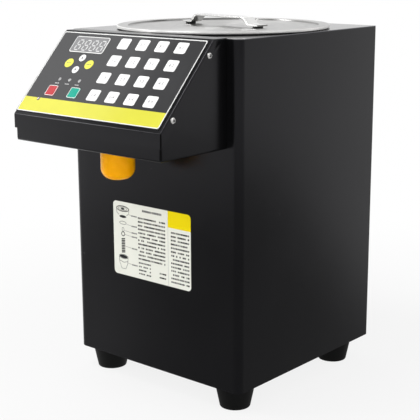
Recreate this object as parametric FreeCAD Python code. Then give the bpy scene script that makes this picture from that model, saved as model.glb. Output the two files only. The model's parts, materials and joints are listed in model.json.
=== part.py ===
import FreeCAD, Part
import math
import os

os.makedirs("parts", exist_ok=True)

Vec = FreeCAD.Vector
X_AXIS = Vec(1, 0, 0)
Y_AXIS = Vec(0, 1, 0)
Z_AXIS = Vec(0, 0, 1)

# Frame: millimetres, +X to the machine's left seen from the front, -Y is the front, +Z up.
# The origin is on the floor, under the middle of the machine.

cut_margin = 1.0              # how far a cutting solid passes the face that it cuts
quarter_turn = 90.0           # degrees, from +X to +Z

# --- Cabinet ---
sheet = 1.2                   # steel sheet of every cabinet panel
body_width = 270.0
body_depth = 278.0
body_height = 414.0
front_corner_radius = 10.0    # bends between the front and the sides
rear_corner_radius = 4.0
return_width = 20.0           # returns of the wrap that carry the rear cover
rear_cover_margin = 5.0       # rear cover edge inside the cabinet's outline

# --- Feet ---
foot_height = 29.0
foot_top_radius = 24.5
foot_bottom_radius = 18.5
foot_recess_radius = 7.0
foot_recess_depth = 19.0
foot_side_inset = 29.5        # foot axis from the cabinet's side
foot_front_inset = 29.5       # foot axis from the cabinet's front
foot_rear_inset = 41.0        # foot axis from the cabinet's rear
foot_screw_radius = 2.5
foot_screw_head_radius = 5.0
foot_screw_head_height = 3.5
foot_screw_end = 8.0          # screw above the base plate

# --- Cabinet screws ---
screw_radius = 2.0
screw_head_radius = 3.4
screw_head_height = 2.1
screw_head_round = 1.2
screw_length = 7.0
screw_recess_width = 1.0
screw_recess_length = 4.0
screw_recess_depth = 1.2
screw_clearance = 0.2
rear_screw_rows = 4
rear_screw_end_inset = 26.0   # first and last rear screw from the cabinet's ends

# --- Rear cover vents ---
vent_slots = 9
vent_slot_width = 3.5
vent_slot_length = 46.0
vent_pitch = 9.0
vent_columns = 2
vent_column_pitch = 66.0
vent_bottom = 235.0           # lowest slot above the cabinet's base

# --- Head: the box that carries the keypad and the valve ---
head_reach = 109.0            # lip in front of the cabinet
head_half_width = 118.0       # outside of the cover's side flanges
head_floor_drop = 123.0       # below the cabinet's top
lip_seam_drop = 108.0
lip_fold_drop = 91.5
slope_top_setback = 22.0      # top of the slope in front of the cabinet
cover_rise = 1.0              # cover's top above the cabinet's top
cover_fold_radius = 2.0
cover_side_fold = 1.6
cover_flange_depth = 12.0     # side flanges, square to the slope
cover_gap = 0.3               # cover to head box, and head box to cabinet
head_corner_bend = 3.0
head_floor_bend = 2.5
head_back_flange = 14.0       # flange of the head box against the cabinet
cover_screw_low = 21.7        # screw places along the slope, from the lip fold
cover_screw_high = 108.7
cover_screw_depth = 5.7       # under the slope's face

# --- Keypad overlay on the slope (s runs up the slope from the lip fold) ---
overlay_thickness = 1.0
overlay_left = -116.4
overlay_right = 112.5
overlay_low = 4.6
overlay_high = 124.0
overlay_corner = 1.0
rivet_x = -91.1
rivet_s = 24.0
rivet_radius = 2.3
rivet_height = 1.1
rivet_shank_radius = 1.2
rivet_tail = 2.0              # shank behind the cover
key_columns = 4
key_rows = 4
key_width = 16.4
key_height = 15.2
key_corner = 2.2
key_pitch_x = 29.4
key_pitch_s = 24.6
key_first_x = -7.5
key_first_s = 37.2
key_thickness = 0.75
key_travel = 0.45
key_clearance = 0.2           # around each key, and under it at full travel
function_key_width = 15.6
function_key_height = 14.8
function_key_s = 37.2
stop_key_x = -78.0
start_key_x = -40.5
round_key_radius = 6.4
round_key_s = 78.0
round_key_left_x = -76.8
round_key_right_x = -43.1
arrow_key_radius = 5.0
arrow_key_x = -59.9
arrow_up_s = 86.6
arrow_down_s = 69.2
window_width = 56.4
window_height = 23.6
window_corner = 3.0
window_x = -61.4
window_s = 106.2
window_lip = 2.6              # bearing of the window on the sheet
window_thickness = 1.2
led_radius = 2.4
led_clearance = 0.2
led_s = 54.4
led_middle_x = -59.5
led_pitch = 16.6

# --- Electronics ---
board_thickness = 1.6
board_gap = 9.0               # between the sheet and the board
board_low = 18.0
board_high = 116.0
board_half_width = 104.0
board_stud_radius = 2.5
board_stud_inset = 6.0
display_gap = 0.4             # between the sheet and the display's face
chip_size = 14.0
chip_height = 2.4
chip_places = ((-20.0, 60.0), (30.0, 80.0), (30.0, 40.0))
board_corner = 3.0
supply_width = 52.0
supply_depth = 100.0
supply_height = 58.0
supply_side_gap = 10.0
supply_rear_gap = 52.0        # clear of the rear foot screw
supply_slots = 7
supply_slot_pitch = 11.0
supply_slot_width = 3.0
supply_slot_length = 34.0
supply_slot_depth = 1.5

# --- Syrup tank and lid ---
tank_radius = 110.0
tank_wall = 1.0
tank_depth = 205.0
tank_bottom_bend = 10.0
tank_seam_rise = 2.0          # weld of the wall above the bottom's bend
tank_flange_radius = 118.0
tank_centre = 134.5           # tank axis behind the cabinet's front
tank_hole_clearance = 0.6
lid_radius = 133.0
lid_sheet = 1.0
lid_rise = 4.4                # lid's flat ring above the cabinet's top
lid_hem_gap = 1.2             # hem above the cabinet's top
lid_hem = 1.6
lid_hem_round = 0.35
lid_edge_round = 1.0
lid_step_round = 0.6
lid_ring_width = 13.0
lid_seat_gap = 0.2
lid_plug_clearance = 3.0
lid_plug_depth = 9.0
handle_span = 127.0           # between the middles of the feet
handle_turn = -9.0            # degrees about the lid's axis
handle_width = 18.0
handle_strap = 2.0
handle_height = 10.5          # above its pads
handle_foot_length = 16.0
handle_lean = 10.0
handle_bend = 4.0
pad_thickness = 2.4
pad_radius = 6.5
band_height = 62.0
band_thickness = 2.0
band_clearance = 0.1
band_split = 14.0
band_start = 22.0             # above the tank's bottom
thermostat_radius = 9.0
thermostat_height = 8.0

# --- Pump ---
gear_teeth = 12
gear_module = 2.0
gear_pressure_angle = 25.0
gear_addendum = 0.9           # in modules
gear_dedendum = 1.15
gear_backlash = 0.12
gear_width = 12.0
gear_side_clearance = 0.1
gear_tip_clearance = 0.15
gear_shaft_radius = 3.0
running_clearance = 0.05
journal_length = 4.0
pump_wall = 8.0
pump_back = 8.0
pump_cover_thickness = 6.0
pump_behind_front = 112.0     # pump's back face behind the cabinet's front
pump_lift = 14.0              # pump's lower face above the base plate
bracket_thickness = 2.0
bracket_foot = 34.0
bracket_margin = 6.0
bracket_shaft_hole = 8.0
motor_radius = 21.0
motor_length = 58.0
motor_boss_radius = 7.5
motor_shaft_depth = 12.0
motor_cap = 6.0
motor_cap_radius = 17.0

# --- Hoses and fittings ---
nipple_radius = 5.0
nipple_bore = 3.4
nipple_length = 14.0
hose_wall = 2.0
hose_clearance = 0.1
hose_bend = 20.0
hose_straight = 6.0           # hose past the end of a nipple before its bend
riser_gap = 10.0              # delivery riser to the cabinet's front and side
window_gap = 2.0              # hose above the edge of the window into the head
outlet_nut_radius = 11.0
outlet_nut_height = 6.0
outlet_thread_radius = 7.0
outlet_collar = 2.0

# --- Outlet valve and nozzle cup ---
valve_reach = 55.8            # valve axis in front of the cabinet
spigot_radius = 15.0
spigot_length = 24.0
valve_flange_radius = 22.0
valve_flange = 3.0
valve_bore = 8.4
seat_hole = 4.0
seat_web = 3.0
seat_depth = 4.0              # seat's underside below the head's floor
chamber_radius = 9.0
valve_roof = 3.0              # body above the inlet's bore
thread_clearance = 0.1
cup_radius = 20.0
cup_drop = 40.0               # cup's lower rim below the head's floor
cup_dome = 13.5
cup_top_gap = 0.4
cup_outlet = 4.5
cup_outlet_length = 8.0
cup_outlet_round = 0.6
cup_rim_round = 1.0
cup_rim_bevel = 0.5
cup_chamber_radius = 9.5
ring_section = 0.85
ring_gap = 0.3
plunger_radius = 7.0
plunger_disc = 3.0
plunger_tip = 3.4
plunger_tip_end = 2.0
plunger_tip_height = 1.5
plunger_stem = 2.4
plunger_stem_length = 12.0
plunger_seat_gap = 0.2
spring_wire = 0.55
spring_mean_radius = 5.8
spring_turns = 5
spring_steps = 14             # straight lengths in each turn
spring_sides = 6              # sides of the wire's section
spring_gap = 0.3

# --- Front label ---
label_width = 128.6
label_height = 93.8
label_thickness = 0.3
label_corner = 5.0
label_x = -2.2
label_base = 112.6            # label's lower edge above the cabinet's base

# --- Mains inlet with switch, on the rear cover ---
inlet_side_inset = 63.0       # socket's middle from the cabinet's side
inlet_height = 58.0           # above the cabinet's base
inlet_flange_width = 50.0
inlet_flange_height = 64.0
inlet_flange = 3.0
inlet_body_width = 28.0
inlet_body_height = 56.0
inlet_body_depth = 24.0
inlet_corner = 4.0
inlet_body_corner = 2.0
inlet_clearance = 0.3
socket_width = 24.0
socket_height = 16.5
socket_depth = 17.0
socket_corner = 4.0
socket_drop = 12.0            # socket's middle below the inlet's middle
pin_width = 2.0
pin_height = 4.0
pin_length = 11.5
pin_spacing = 7.0
pin_offset = 2.0
rocker_width = 13.0
rocker_height = 19.0
rocker_depth = 8.0
rocker_face = 1.6             # rocker's middle in front of the flange
rocker_tilt = 8.0
rocker_clearance = 0.5
rocker_opening_corner = 1.0
rocker_lift = 13.0            # rocker's middle above the inlet's middle
rocker_back = 4.8             # back of the rocker behind its axis
rocker_back_half = 5.2        # half height of that back
rocker_edge_round = 0.6
rocker_back_round = 1.0
rocker_pin_radius = 1.5
rocker_pin_length = 1.6

# --- Places worked out from the sizes above ---
rear_reach = sheet + inlet_flange + rocker_face
y_lip = -(head_reach + body_depth + rear_reach) / 2
y_front = y_lip + head_reach
y_rear = y_front + body_depth
inlet_x = inlet_side_inset - body_width / 2
z_base = foot_height
z_top = z_base + body_height
y_box = y_lip + sheet + cover_gap
box_half_width = head_half_width - sheet - cover_gap
z_floor = z_top - head_floor_drop
z_seam = z_top - lip_seam_drop
z_fold = z_top - lip_fold_drop
z_cover = z_top + cover_rise
y_slope_top = y_front - slope_top_setback
slope_length = math.hypot(y_slope_top - y_lip, z_cover - z_fold)
slope_up = Vec(0, (y_slope_top - y_lip) / slope_length, (z_cover - z_fold) / slope_length)
slope_out = Vec(0, -slope_up.z, slope_up.y)
tank_y = y_front + tank_centre
z_tank = z_top + tank_wall - tank_depth
valve_y = y_front - valve_reach


# --- Shape helpers ---

# A closed or open chain of straight edges with a tangent arc of the given radius at each corner.
def corner_arc(before, corner, after, radius):
    to_before = (before - corner).normalize()
    to_after = (after - corner).normalize()
    half = to_before.getAngle(to_after) / 2
    reach = radius / math.tan(half)
    bisector = (to_before + to_after).normalize()
    middle = corner + bisector * (radius / math.sin(half) - radius)
    return corner + to_before * reach, middle, corner + to_after * reach


def chain(points, radii, closed):
    edges = []
    count = len(points)
    starts = []
    for i in range(count):
        inner = closed or 0 < i < count - 1
        if inner and radii[i] > 0:
            arc = corner_arc(points[i - 1], points[i], points[(i + 1) % count], radii[i])
            starts.append((arc[0], arc[2], Part.Arc(*arc).toShape()))
        else:
            starts.append((points[i], points[i], None))
    for i in range(count):
        if starts[i][2] is not None:
            edges.append(starts[i][2])
        if closed or i < count - 1:
            leave = starts[i][1]
            arrive = starts[(i + 1) % count][0]
            if leave.distanceToPoint(arrive) > 1e-6:
                edges.append(Part.LineSegment(leave, arrive).toShape())
    return Part.Wire(edges)


# A prism on a rounded outline.
def prism(points, radii, travel):
    if not isinstance(radii, (list, tuple)):
        radii = [radii] * len(points)
    return Part.Face(chain(points, radii, True)).extrude(travel)


def box(x0, x1, y0, y1, z0, z1):
    return Part.makeBox(x1 - x0, y1 - y0, z1 - z0, Vec(x0, y0, z0))


def rod(radius, start, direction, length):
    return Part.makeCylinder(radius, length, start, direction)


def tube(outer, inner, start, direction, length):
    return rod(outer, start, direction, length).cut(rod(inner, start, direction, length))


def fuse_all(shapes):
    if len(shapes) == 1:
        return shapes[0]
    return shapes[0].fuse(shapes[1:]).removeSplitter()


# A solid of revolution about a vertical axis, from (radius, height) points.
def revolved(points, radii, centre):
    outline = [Vec(centre.x + r, centre.y, centre.z + h) for r, h in points]
    face = Part.Face(chain(outline, radii, True))
    return face.revolve(centre, Z_AXIS, 360)


def save(name, shape):
    shape.exportStep("parts/" + name + ".step")


# A point on the slope: x across, s up from the lip fold, n out of its face.
def on_slope(x, s, n):
    return Vec(x, y_lip, z_fold) + slope_up * s + slope_out * n


# Depth lines under the slope's face, where they meet a given y or z.
def slope_z_at(y, depth):
    start = Vec(0, y_lip, z_fold) - slope_out * depth
    return start.z + (y - start.y) * slope_up.z / slope_up.y


def slope_y_at(z, depth):
    start = Vec(0, y_lip, z_fold) - slope_out * depth
    return start.y + (z - start.z) * slope_up.y / slope_up.z


# A rounded rectangle on the slope, from height n over the given thickness.
def slope_plate(x0, x1, s0, s1, corner, n, thickness):
    corners = [on_slope(x0, s0, n), on_slope(x1, s0, n), on_slope(x1, s1, n), on_slope(x0, s1, n)]
    return prism(corners, corner, slope_out * thickness)


def slope_disc(x, s, radius, n, thickness):
    return rod(radius, on_slope(x, s, n), slope_out, thickness)


# A rounded rectangle in the X-Z plane, extruded along +Y.
def wall_plate(x, z, width, height, corner, y, thickness):
    half_w = width / 2
    half_h = height / 2
    corners = [Vec(x - half_w, y, z - half_h), Vec(x + half_w, y, z - half_h),
               Vec(x + half_w, y, z + half_h), Vec(x - half_w, y, z + half_h)]
    return prism(corners, corner, Y_AXIS * thickness)


# --- Cabinet ---

# The cabinet's plan, inset all round, extruded between two heights.
def body_block(inset, z0, z1):
    half = body_width / 2 - inset
    corners = [Vec(-half, y_front + inset, z0), Vec(half, y_front + inset, z0),
               Vec(half, y_rear - inset, z0), Vec(-half, y_rear - inset, z0)]
    front = max(front_corner_radius - inset, 0)
    rear = max(rear_corner_radius - inset, 0)
    return prism(corners, [front, front, rear, rear], Z_AXIS * (z1 - z0))


def rear_screw_places():
    x = body_width / 2 - return_width / 2
    low = z_base + rear_screw_end_inset
    step = (body_height - 2 * rear_screw_end_inset) / (rear_screw_rows - 1)
    heights = [low + step * i for i in range(rear_screw_rows)]
    return [Vec(side * x, y_rear + sheet, z) for side in (-1, 1) for z in heights]


def cover_screw_places():
    places = []
    for side in (-1, 1):
        for s in (cover_screw_low, cover_screw_high):
            places.append(on_slope(side * head_half_width, s, -cover_screw_depth))
    return places


# Clearance holes for cabinet screws, drilled through everything near the given places.
def screw_holes(places, direction):
    reach = screw_length + screw_head_height
    return [rod(screw_radius + screw_clearance, p - direction * reach, direction, 2 * reach)
            for p in places]


def make_body_shell():
    shell = body_block(0, z_base + sheet, z_top - sheet)
    shell = shell.cut(body_block(sheet, z_base + sheet, z_top - sheet))
    half = body_width / 2 - return_width
    rear_opening = box(-half, half, y_rear - 2 * sheet, y_rear + sheet, z_base, z_top)
    head_window = box(-head_half_width + head_back_flange + sheet,
                      head_half_width - head_back_flange - sheet,
                      y_front - sheet, y_front + 2 * sheet,
                      z_floor + head_back_flange, z_top - head_back_flange)
    shell = shell.cut([rear_opening, head_window] + screw_holes(rear_screw_places(), Y_AXIS))
    save("body_shell", shell)


def make_top_plate():
    plate = body_block(0, z_top - sheet, z_top)
    hole = rod(tank_radius + tank_hole_clearance, Vec(0, tank_y, z_top - 2 * sheet), Z_AXIS, 3 * sheet)
    save("top_plate", plate.cut(hole))


def foot_places():
    x = body_width / 2 - foot_side_inset
    front = y_front + foot_front_inset
    rear = y_rear - foot_rear_inset
    return [Vec(side * x, y, 0) for y in (front, rear) for side in (-1, 1)]


def make_base_plate():
    plate = body_block(0, z_base, z_base + sheet)
    holes = [rod(foot_screw_radius + screw_clearance, p, Z_AXIS, z_base + 2 * sheet)
             for p in foot_places()]
    save("base_plate", plate.cut(holes))


def make_feet():
    feet = []
    screws = []
    for place in foot_places():
        foot = Part.makeCone(foot_bottom_radius, foot_top_radius, foot_height, place, Z_AXIS)
        recess = rod(foot_recess_radius, place, Z_AXIS, foot_recess_depth)
        bore = rod(foot_screw_radius + screw_clearance, place, Z_AXIS, foot_height)
        feet.append(foot.cut([recess, bore]))
        head_place = place + Z_AXIS * (foot_recess_depth - foot_screw_head_height)
        head = rod(foot_screw_head_radius, head_place, Z_AXIS, foot_screw_head_height)
        shank_length = foot_screw_head_height + foot_height - foot_recess_depth + sheet + foot_screw_end
        shank = rod(foot_screw_radius, head_place, Z_AXIS, shank_length)
        slot = box(place.x - foot_screw_head_radius, place.x + foot_screw_head_radius,
                   place.y - screw_recess_width / 2, place.y + screw_recess_width / 2,
                   head_place.z, head_place.z + screw_recess_depth)
        screws.append(fuse_all([head, shank]).cut(slot))
    save("rubber_feet", Part.makeCompound(feet))
    save("foot_screws", Part.makeCompound(screws))


# A pan-head screw with a cross recess: its head stands on the face at place, along outward.
def pan_screw(place, outward, across):
    head = rod(screw_head_radius, place, outward, screw_head_height)
    rim = [e for e in head.Edges
           if e.Curve.TypeId == "Part::GeomCircle"
           and (e.Curve.Center - place).dot(outward) > screw_head_height / 2]
    head = head.makeFillet(screw_head_round, rim)
    shank = rod(screw_radius, place - outward * screw_length, outward, screw_length)
    screw = fuse_all([head, shank])
    upright = outward.cross(across)
    bottom = place + outward * (screw_head_height - screw_recess_depth)
    for along, wide in ((across, upright), (upright, across)):
        half_l = along * (screw_recess_length / 2)
        half_w = wide * (screw_recess_width / 2)
        corners = [bottom - half_l - half_w, bottom + half_l - half_w,
                   bottom + half_l + half_w, bottom - half_l + half_w]
        screw = screw.cut(prism(corners, 0, outward * (2 * screw_recess_depth)))
    return screw


def make_cabinet_screws():
    screws = [pan_screw(p, Y_AXIS, X_AXIS) for p in rear_screw_places()]
    for place in cover_screw_places():
        outward = X_AXIS if place.x > 0 else -X_AXIS
        screws.append(pan_screw(place, outward, slope_up))
    save("cabinet_screws", Part.makeCompound(screws))


def vent_cuts():
    cuts = []
    for column in range(vent_columns):
        x = (column - (vent_columns - 1) / 2) * vent_column_pitch
        for row in range(vent_slots):
            z = z_base + vent_bottom + row * vent_pitch
            cuts.append(wall_plate(x, z, vent_slot_length, vent_slot_width,
                                   vent_slot_width / 2, y_rear - sheet, 3 * sheet))
    return cuts


def make_rear_cover():
    width = body_width - 2 * rear_cover_margin
    height = body_height - 2 * rear_cover_margin
    plate = wall_plate(0, z_base + body_height / 2, width, height, rear_corner_radius, y_rear, sheet)
    opening = wall_plate(inlet_x, z_base + inlet_height,
                         inlet_body_width + 2 * inlet_clearance,
                         inlet_body_height + 2 * inlet_clearance,
                         inlet_body_corner + inlet_clearance, y_rear - sheet, 3 * sheet)
    plate = plate.cut(vent_cuts() + [opening] + screw_holes(rear_screw_places(), Y_AXIS))
    save("rear_cover", plate)


# --- Head ---

# The head box as a solid: side profile, plan and front view each give their own bends.
def head_block(inset, slope_depth, back):
    half = box_half_width - inset
    front = y_box + inset
    floor = z_floor + inset
    roof = z_cover - slope_depth
    profile = [Vec(-half, front, floor), Vec(-half, back, floor), Vec(-half, back, roof),
               Vec(-half, slope_y_at(roof, slope_depth), roof),
               Vec(-half, front, slope_z_at(front, slope_depth))]
    side = prism(profile, [head_floor_bend - inset / 2, 0, 0, 0, 0], X_AXIS * (2 * half))
    corners = [Vec(-half, front, floor), Vec(half, front, floor),
               Vec(half, back, floor), Vec(-half, back, floor)]
    bend = head_corner_bend - inset / 2
    plan = prism(corners, [bend, bend, 0, 0], Z_AXIS * (roof - floor))
    outline = [Vec(-half, front, floor), Vec(half, front, floor),
               Vec(half, front, roof), Vec(-half, front, roof)]
    bend = head_floor_bend - inset / 2
    face = prism(outline, [bend, bend, 0, 0], Y_AXIS * (back - front))
    return side.common(plan).common(face)


def make_head_housing():
    cover_depth = sheet + cover_gap
    back = y_front - cover_gap
    block = head_block(0, cover_depth, back)
    hollow = head_block(sheet, -4 * sheet, back - sheet)
    rear_window = box(-box_half_width + head_back_flange, box_half_width - head_back_flange,
                      back - 2 * sheet, back + sheet,
                      z_floor + head_back_flange, z_cover + sheet)
    valve_hole = rod(spigot_radius + cover_gap, Vec(0, valve_y, z_floor - sheet), Z_AXIS, 3 * sheet)
    holes = screw_holes(cover_screw_places(), X_AXIS)
    save("head_housing", block.cut([hollow, rear_window, valve_hole] + holes))


def board_studs():
    top = -sheet / 2
    places = [(side * (board_half_width - board_stud_inset), s)
              for side in (-1, 1)
              for s in (board_low + board_stud_inset, board_high - board_stud_inset)]
    length = board_gap + sheet + top
    return [rod(board_stud_radius, on_slope(x, s, top), -slope_out, length) for x, s in places]


# The cover's outer folds: the two long edges of the slope, the lip and the top.
def cover_fold_edges(cover):
    found = []
    for edge in cover.Edges:
        middle = edge.valueAt((edge.FirstParameter + edge.LastParameter) / 2)
        on_side = abs(abs(middle.x) - head_half_width) < 1e-3
        flat = all(abs(abs(v.X) - head_half_width) < 1e-3 for v in edge.Vertexes)
        depth = (middle - Vec(0, y_lip, z_fold)).dot(slope_out)
        if on_side and flat and depth > -0.01 and edge.Length > slope_length / 2:
            found.append(edge)
    return found


def make_head_cover():
    y_end = y_front - cover_gap
    inner = cover_fold_radius - sheet
    width = 2 * head_half_width
    x0 = -head_half_width
    skin = [Vec(x0, y_lip, z_seam), Vec(x0, y_lip, z_fold), Vec(x0, y_slope_top, z_cover),
            Vec(x0, y_end, z_cover), Vec(x0, y_end, z_cover - sheet),
            Vec(x0, slope_y_at(z_cover - sheet, sheet), z_cover - sheet),
            Vec(x0, y_lip + sheet, slope_z_at(y_lip + sheet, sheet)), Vec(x0, y_lip + sheet, z_seam)]
    radii = [0, cover_fold_radius, cover_fold_radius, 0, 0, inner, inner, 0]
    cover = prism(skin, radii, X_AXIS * width)
    flange_foot = max(slope_y_at(z_seam, cover_flange_depth), y_lip + sheet)
    flange = [Vec(x0, y_lip, z_seam), Vec(x0, y_lip, z_fold), Vec(x0, y_slope_top, z_cover),
              Vec(x0, slope_y_at(z_cover, cover_flange_depth), z_cover),
              Vec(x0, slope_y_at(z_seam, cover_flange_depth) if flange_foot > y_lip + sheet else flange_foot,
                  z_seam if flange_foot > y_lip + sheet else slope_z_at(flange_foot, cover_flange_depth)),
              Vec(x0, flange_foot, z_seam)]
    flange = [p for i, p in enumerate(flange) if i == 0 or p.distanceToPoint(flange[i - 1]) > 1e-6]
    radii = [0, cover_fold_radius, cover_fold_radius] + [0] * (len(flange) - 3)
    left = prism(flange, radii, X_AXIS * sheet)
    right = left.copy()
    right.translate(X_AXIS * (width - sheet))
    cover = fuse_all([cover, left, right] + board_studs())
    cover = cover.makeFillet(cover_side_fold, cover_fold_edges(cover))
    window = slope_plate(window_x - window_width / 2 + window_lip, window_x + window_width / 2 - window_lip,
                         window_s - window_height / 2 + window_lip, window_s + window_height / 2 - window_lip,
                         window_corner / 2, -2 * sheet, 4 * sheet)
    led_hole = led_radius + led_clearance
    led_holes = [slope_disc(x, led_s, led_hole, -2 * sheet, 4 * sheet) for x in led_places()]
    rivet_hole = slope_disc(rivet_x, rivet_s, rivet_shank_radius, -2 * sheet, 4 * sheet)
    cover = cover.cut([window, rivet_hole] + led_holes + screw_holes(cover_screw_places(), X_AXIS))
    save("head_cover", cover)


# --- Keypad ---

def led_places():
    return [led_middle_x + (i - 1) * led_pitch for i in range(3)]


# Every key as (name, x, s, half width, half height), with no half height for a round key.
def key_list():
    keys = []
    for row in range(key_rows):
        for column in range(key_columns):
            name = "key_%d_%d" % (column + 1, key_rows - row)
            keys.append((name, key_first_x + column * key_pitch_x, key_first_s + row * key_pitch_s,
                         key_width / 2, key_height / 2))
    half_w = function_key_width / 2
    half_h = function_key_height / 2
    keys.append(("stop_key", stop_key_x, function_key_s, half_w, half_h))
    keys.append(("start_key", start_key_x, function_key_s, half_w, half_h))
    keys.append(("set_key", round_key_left_x, round_key_s, round_key_radius, None))
    keys.append(("mode_key", round_key_right_x, round_key_s, round_key_radius, None))
    keys.append(("arrow_up_key", arrow_key_x, arrow_up_s, arrow_key_radius, None))
    keys.append(("arrow_down_key", arrow_key_x, arrow_down_s, arrow_key_radius, None))
    return keys


def key_shape(x, s, half_w, half_h, grow, n, thickness):
    if half_h is None:
        return slope_disc(x, s, half_w + grow, n, thickness)
    return slope_plate(x - half_w - grow, x + half_w + grow, s - half_h - grow, s + half_h + grow,
                       key_corner + grow, n, thickness)


def make_keypad():
    overlay = slope_plate(overlay_left, overlay_right, overlay_low, overlay_high,
                          overlay_corner, 0, overlay_thickness)
    cuts = [slope_disc(x, led_s, led_radius + led_clearance, -sheet, 4 * sheet) for x in led_places()]
    cuts.append(slope_disc(rivet_x, rivet_s, rivet_shank_radius, -sheet, 4 * sheet))
    half_w = window_width / 2 + key_clearance
    half_h = window_height / 2 + key_clearance
    cuts.append(slope_plate(window_x - half_w, window_x + half_w, window_s - half_h, window_s + half_h,
                            window_corner + key_clearance, -sheet, 4 * sheet))
    for name, x, s, half_w, half_h in key_list():
        cuts.append(key_shape(x, s, half_w, half_h, key_clearance, -sheet, 4 * sheet))
        save(name, key_shape(x, s, half_w, half_h, 0, key_travel + key_clearance, key_thickness))
    save("keypad_overlay", overlay.cut(cuts))
    window = slope_plate(window_x - window_width / 2, window_x + window_width / 2,
                         window_s - window_height / 2, window_s + window_height / 2,
                         window_corner, 0, window_thickness)
    save("display_window", window)


# A domed rivet through the overlay and the cover.
def make_overlay_rivet():
    ball_radius = (rivet_radius ** 2 + rivet_height ** 2) / (2 * rivet_height)
    half_angle = math.asin(rivet_radius / ball_radius) / 2
    dome_x = ball_radius * math.sin(half_angle)
    dome_z = rivet_height - ball_radius * (1 - math.cos(half_angle))
    length = overlay_thickness + sheet + rivet_tail
    crown = Vec(0, 0, rivet_height)
    brim = Vec(rivet_radius, 0, 0)
    neck = Vec(rivet_shank_radius, 0, 0)
    tip = Vec(rivet_shank_radius, 0, -length)
    tail = Vec(0, 0, -length)
    edges = [Part.Arc(crown, Vec(dome_x, 0, dome_z), brim).toShape()]
    edges += [Part.makeLine(a, b) for a, b in ((brim, neck), (neck, tip), (tip, tail), (tail, crown))]
    rivet = Part.Face(Part.Wire(edges)).revolve(Vec(0, 0, 0), Z_AXIS, 360)
    rivet.Placement = FreeCAD.Placement(on_slope(rivet_x, rivet_s, overlay_thickness),
                                        FreeCAD.Rotation(Z_AXIS, slope_out))
    save("overlay_rivet", rivet)


def make_electronics():
    board_top = -(sheet + board_gap)
    board = slope_plate(-board_half_width, board_half_width, board_low, board_high, board_corner,
                        board_top - board_thickness, board_thickness)
    chips = [slope_plate(x, x + chip_size, s, s + chip_size, 0,
                         board_top - board_thickness - chip_height, chip_height)
             for x, s in chip_places]
    save("control_board", fuse_all([board] + chips))
    lip = window_lip + display_gap
    display = slope_plate(window_x - window_width / 2 + lip, window_x + window_width / 2 - lip,
                          window_s - window_height / 2 + lip, window_s + window_height / 2 - lip,
                          0, board_top, board_gap - display_gap)
    save("display_module", display)
    led_length = sheet + board_gap + overlay_thickness
    leds = [slope_disc(x, led_s, led_radius, board_top, led_length) for x in led_places()]
    save("status_leds", Part.makeCompound(leds))
    make_power_supply()


def make_power_supply():
    x1 = body_width / 2 - sheet - supply_side_gap
    y1 = y_rear - sheet - supply_rear_gap
    z0 = z_base + sheet
    case = box(x1 - supply_width, x1, y1 - supply_depth, y1, z0, z0 + supply_height)
    slots = []
    for i in range(supply_slots):
        y = y1 - supply_depth / 2 + (i - (supply_slots - 1) / 2) * supply_slot_pitch
        slots.append(box(x1 - supply_width / 2 - supply_slot_length / 2,
                         x1 - supply_width / 2 + supply_slot_length / 2,
                         y - supply_slot_width / 2, y + supply_slot_width / 2,
                         z0 + supply_height - supply_slot_depth, z0 + supply_height + cut_margin))
    save("power_supply", case.cut(slots))


# --- Tank and lid ---

def make_tank():
    centre = Vec(0, tank_y, z_top)
    inner = tank_radius - tank_wall
    low = z_tank - z_top
    bend = tank_bottom_bend
    seam = low + bend + tank_seam_rise
    dish_points = [(0, low), (tank_radius, low), (tank_radius, seam), (inner, seam),
                   (inner, low + tank_wall), (0, low + tank_wall)]
    dish = revolved(dish_points, [0, bend, 0, 0, bend - tank_wall, 0], centre)
    wall_points = [(inner, seam), (tank_radius, seam), (tank_radius, 0), (tank_flange_radius, 0),
                   (tank_flange_radius, tank_wall), (inner, tank_wall)]
    wall = revolved(wall_points, [0] * 6, centre)
    hole = rod(outlet_thread_radius + hose_clearance, Vec(hose_x(), pump_port_y(), z_tank - tank_wall),
               Z_AXIS, 3 * tank_wall)
    save("syrup_tank", Part.makeCompound([dish.cut(hole), wall]))


def lid_disc_level():
    return tank_wall + lid_seat_gap + lid_sheet


def make_lid():
    centre = Vec(0, tank_y, z_top)
    ring = lid_radius - lid_ring_width
    disc = lid_disc_level()
    plug = tank_radius - tank_wall - lid_plug_clearance
    points = [(0, disc - lid_sheet), (ring, disc - lid_sheet), (ring, lid_rise - lid_sheet),
              (lid_radius - lid_hem, lid_rise - lid_sheet), (lid_radius - lid_hem, lid_hem_gap),
              (lid_radius, lid_hem_gap), (lid_radius, lid_rise), (ring - lid_sheet, lid_rise),
              (ring - lid_sheet, disc), (0, disc)]
    radii = [0] * 5 + [lid_hem_round, lid_edge_round, lid_step_round, lid_step_round, 0]
    skirt = tube(plug, plug - lid_sheet, centre - Z_AXIS * lid_plug_depth, Z_AXIS,
                 lid_plug_depth + disc - lid_sheet)
    save("tank_lid", Part.makeCompound([revolved(points, radii, centre), skirt]))


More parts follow.
